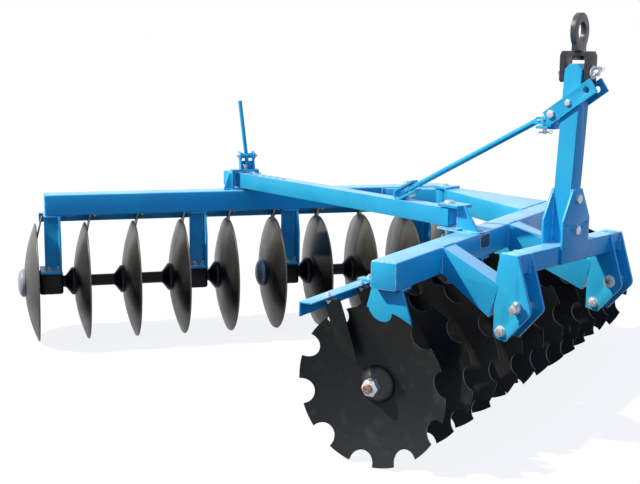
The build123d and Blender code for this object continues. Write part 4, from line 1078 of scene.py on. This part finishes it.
# ================================================================ welds
def welds():
    """Fillet welds where the frame's members meet."""
    def level(place, x, y, z):
        return path(place, [(a, b, z) for a, b in around(x, y)])

    def upright(place, x, y, z):
        return path(place, [(a, y, b) for a, b in around(x, z)])

    front, rear, face, bar = ROW["front"], ROW["rear"], -BAR_W / 2, (BAR_BOTTOM, BAR_TOP)
    runs = [upright(front, (t - BRACE_HALF, t + BRACE_HALF), face, bar) for t in BRACE_T]
    runs.append(upright(front, FRONT_ARM_T, -face, bar))
    web = (-BRACKET_TH / 2, BRACKET_TH / 2)
    runs.append(level(BAR, (GUSSET[0], PIVOT_BACK), (-BRACKET_W / 2, BRACKET_W / 2), BAR_TOP))
    runs.append(level(BAR, GUSSET, web, BAR_TOP + 0.001))
    runs += [path(BAR, [(GUSSET[1], y, z) for z in (BAR_TOP, TUBE_TOP)]) for y in web]
    section = around((BEAM_LOW, BEAM_TOP), (BEAM_FRONT, BEAM_BACK))
    for low in PAIR_X.values():
        for x in (low + HITCH_PLATE_TH, low + HITCH_PLATE_TH + LINK_GAP):
            runs.append(path(MACHINE, [(x, y, z) for z, y in section]))
    half = MAST_W / 2
    for y in (BEAM_FRONT, BEAM_BACK):
        runs.append(path(MACHINE, [(HITCH_MID + end * GUSSET_HALF, y, BEAM_TOP) for end in (-1, 1)]))
        runs += [path(MACHINE, [(HITCH_MID + end * half, y, z) for z in (BEAM_TOP, PLATE_TOP)])
                 for end in (-1, 1)]
    runs.append(level(MACHINE, (HITCH_MID - half, HITCH_MID + half), (BEAM_FRONT, BEAM_BACK), BEAM_TOP))
    bead("front_frame_welds", "front_frame", runs, 0.0035)
    across, deep = SLEEVE_HALF
    runs = [level(SLEEVE, (-across, across), (-deep, deep), BAR_TOP),
            upright(rear, REAR_ARM_T, face, (BAR_BOTTOM + 0.008, BAR_TOP - 0.008))]
    bead("rear_frame_welds", "rear_frame", runs, 0.0035)


gangs()
bearings_and_hangers()
toolbars()
scrapers()
frame_plates()
link_pins()
mast_fittings()
pivot_fittings()
lock_fittings()
name_plate()
welds()

drop(BOLT_12)


# ================================================================ floor, light and camera
def shown_or_lighting(holder, shown, lighting):
    """One shader for what the camera, reflections and glass see, another for the light that it gives."""
    rays = add_node(holder, "LightPath").outputs
    seen = rays["Is Camera Ray"]
    for kind in ("Is Glossy Ray", "Is Transmission Ray"):
        seen = add_node(holder, "Math", {0: seen, 1: rays[kind]}, operation="MAXIMUM").outputs[0]
    return add_node(holder, "MixShader", {0: seen, 1: lighting.outputs[0], 2: shown.outputs[0]})


def white_floor():
    """Pale studio floor that fades into the background and keeps a faint shadow."""
    material = new_material("studio_floor")[0]
    glow = add_node(material, "Emission", {"Color": linear("#FFFFFF"), "Strength": 1.0})
    paper = add_node(material, "BsdfDiffuse", {"Color": linear("#FFFFFF")})
    lit = add_node(material, "MixShader", {0: 0.86, 1: paper.outputs[0], 2: glow.outputs[0]})
    matt = add_node(material, "BsdfDiffuse", {"Color": linear("#1E1E1E")})
    return close_material(material, shown_or_lighting(material, lit, matt))


deselect()
bpy.ops.mesh.primitive_plane_add(size=60)
floor = bpy.context.object
floor.name = "studio_floor"
floor.data.materials.append(white_floor())

world = bpy.data.worlds.new("studio")
world.use_nodes = True
bpy.context.scene.world = world
world.node_tree.nodes.clear()
sky = add_node(world, "Background", {"Color": linear("#86BEFF"), "Strength": 0.78})
white = add_node(world, "Background", {"Color": linear("#FFFFFF"), "Strength": 1.0})
add_node(world, "OutputWorld", {"Surface": shown_or_lighting(world, white, sky).outputs[0]})

towards_sun = Vector((-0.82, 0.58, 1.00))
sun = linked("sun", bpy.data.lights.new("sun", "SUN"))
sun.data.energy = 4.0
sun.data.color = linear("#FFF3DC")[:3]
sun.data.angle = math.radians(1.5)
sun.rotation_euler = towards_sun.to_track_quat("Z", "Y").to_euler()

camera = linked("camera", bpy.data.cameras.new("camera"))
camera.data.lens = 65.15
camera.data.sensor_width = 36.0
camera.matrix_world = (MACHINE @ move((-2.9034, -2.4044, 1.4552))
                       @ turn_by(-47.70, "Z") @ turn_by(90 - 10.18, "X") @ turn_by(0.71, "Z"))
bpy.context.scene.camera = camera
bpy.context.scene.view_settings.view_transform = "Standard"
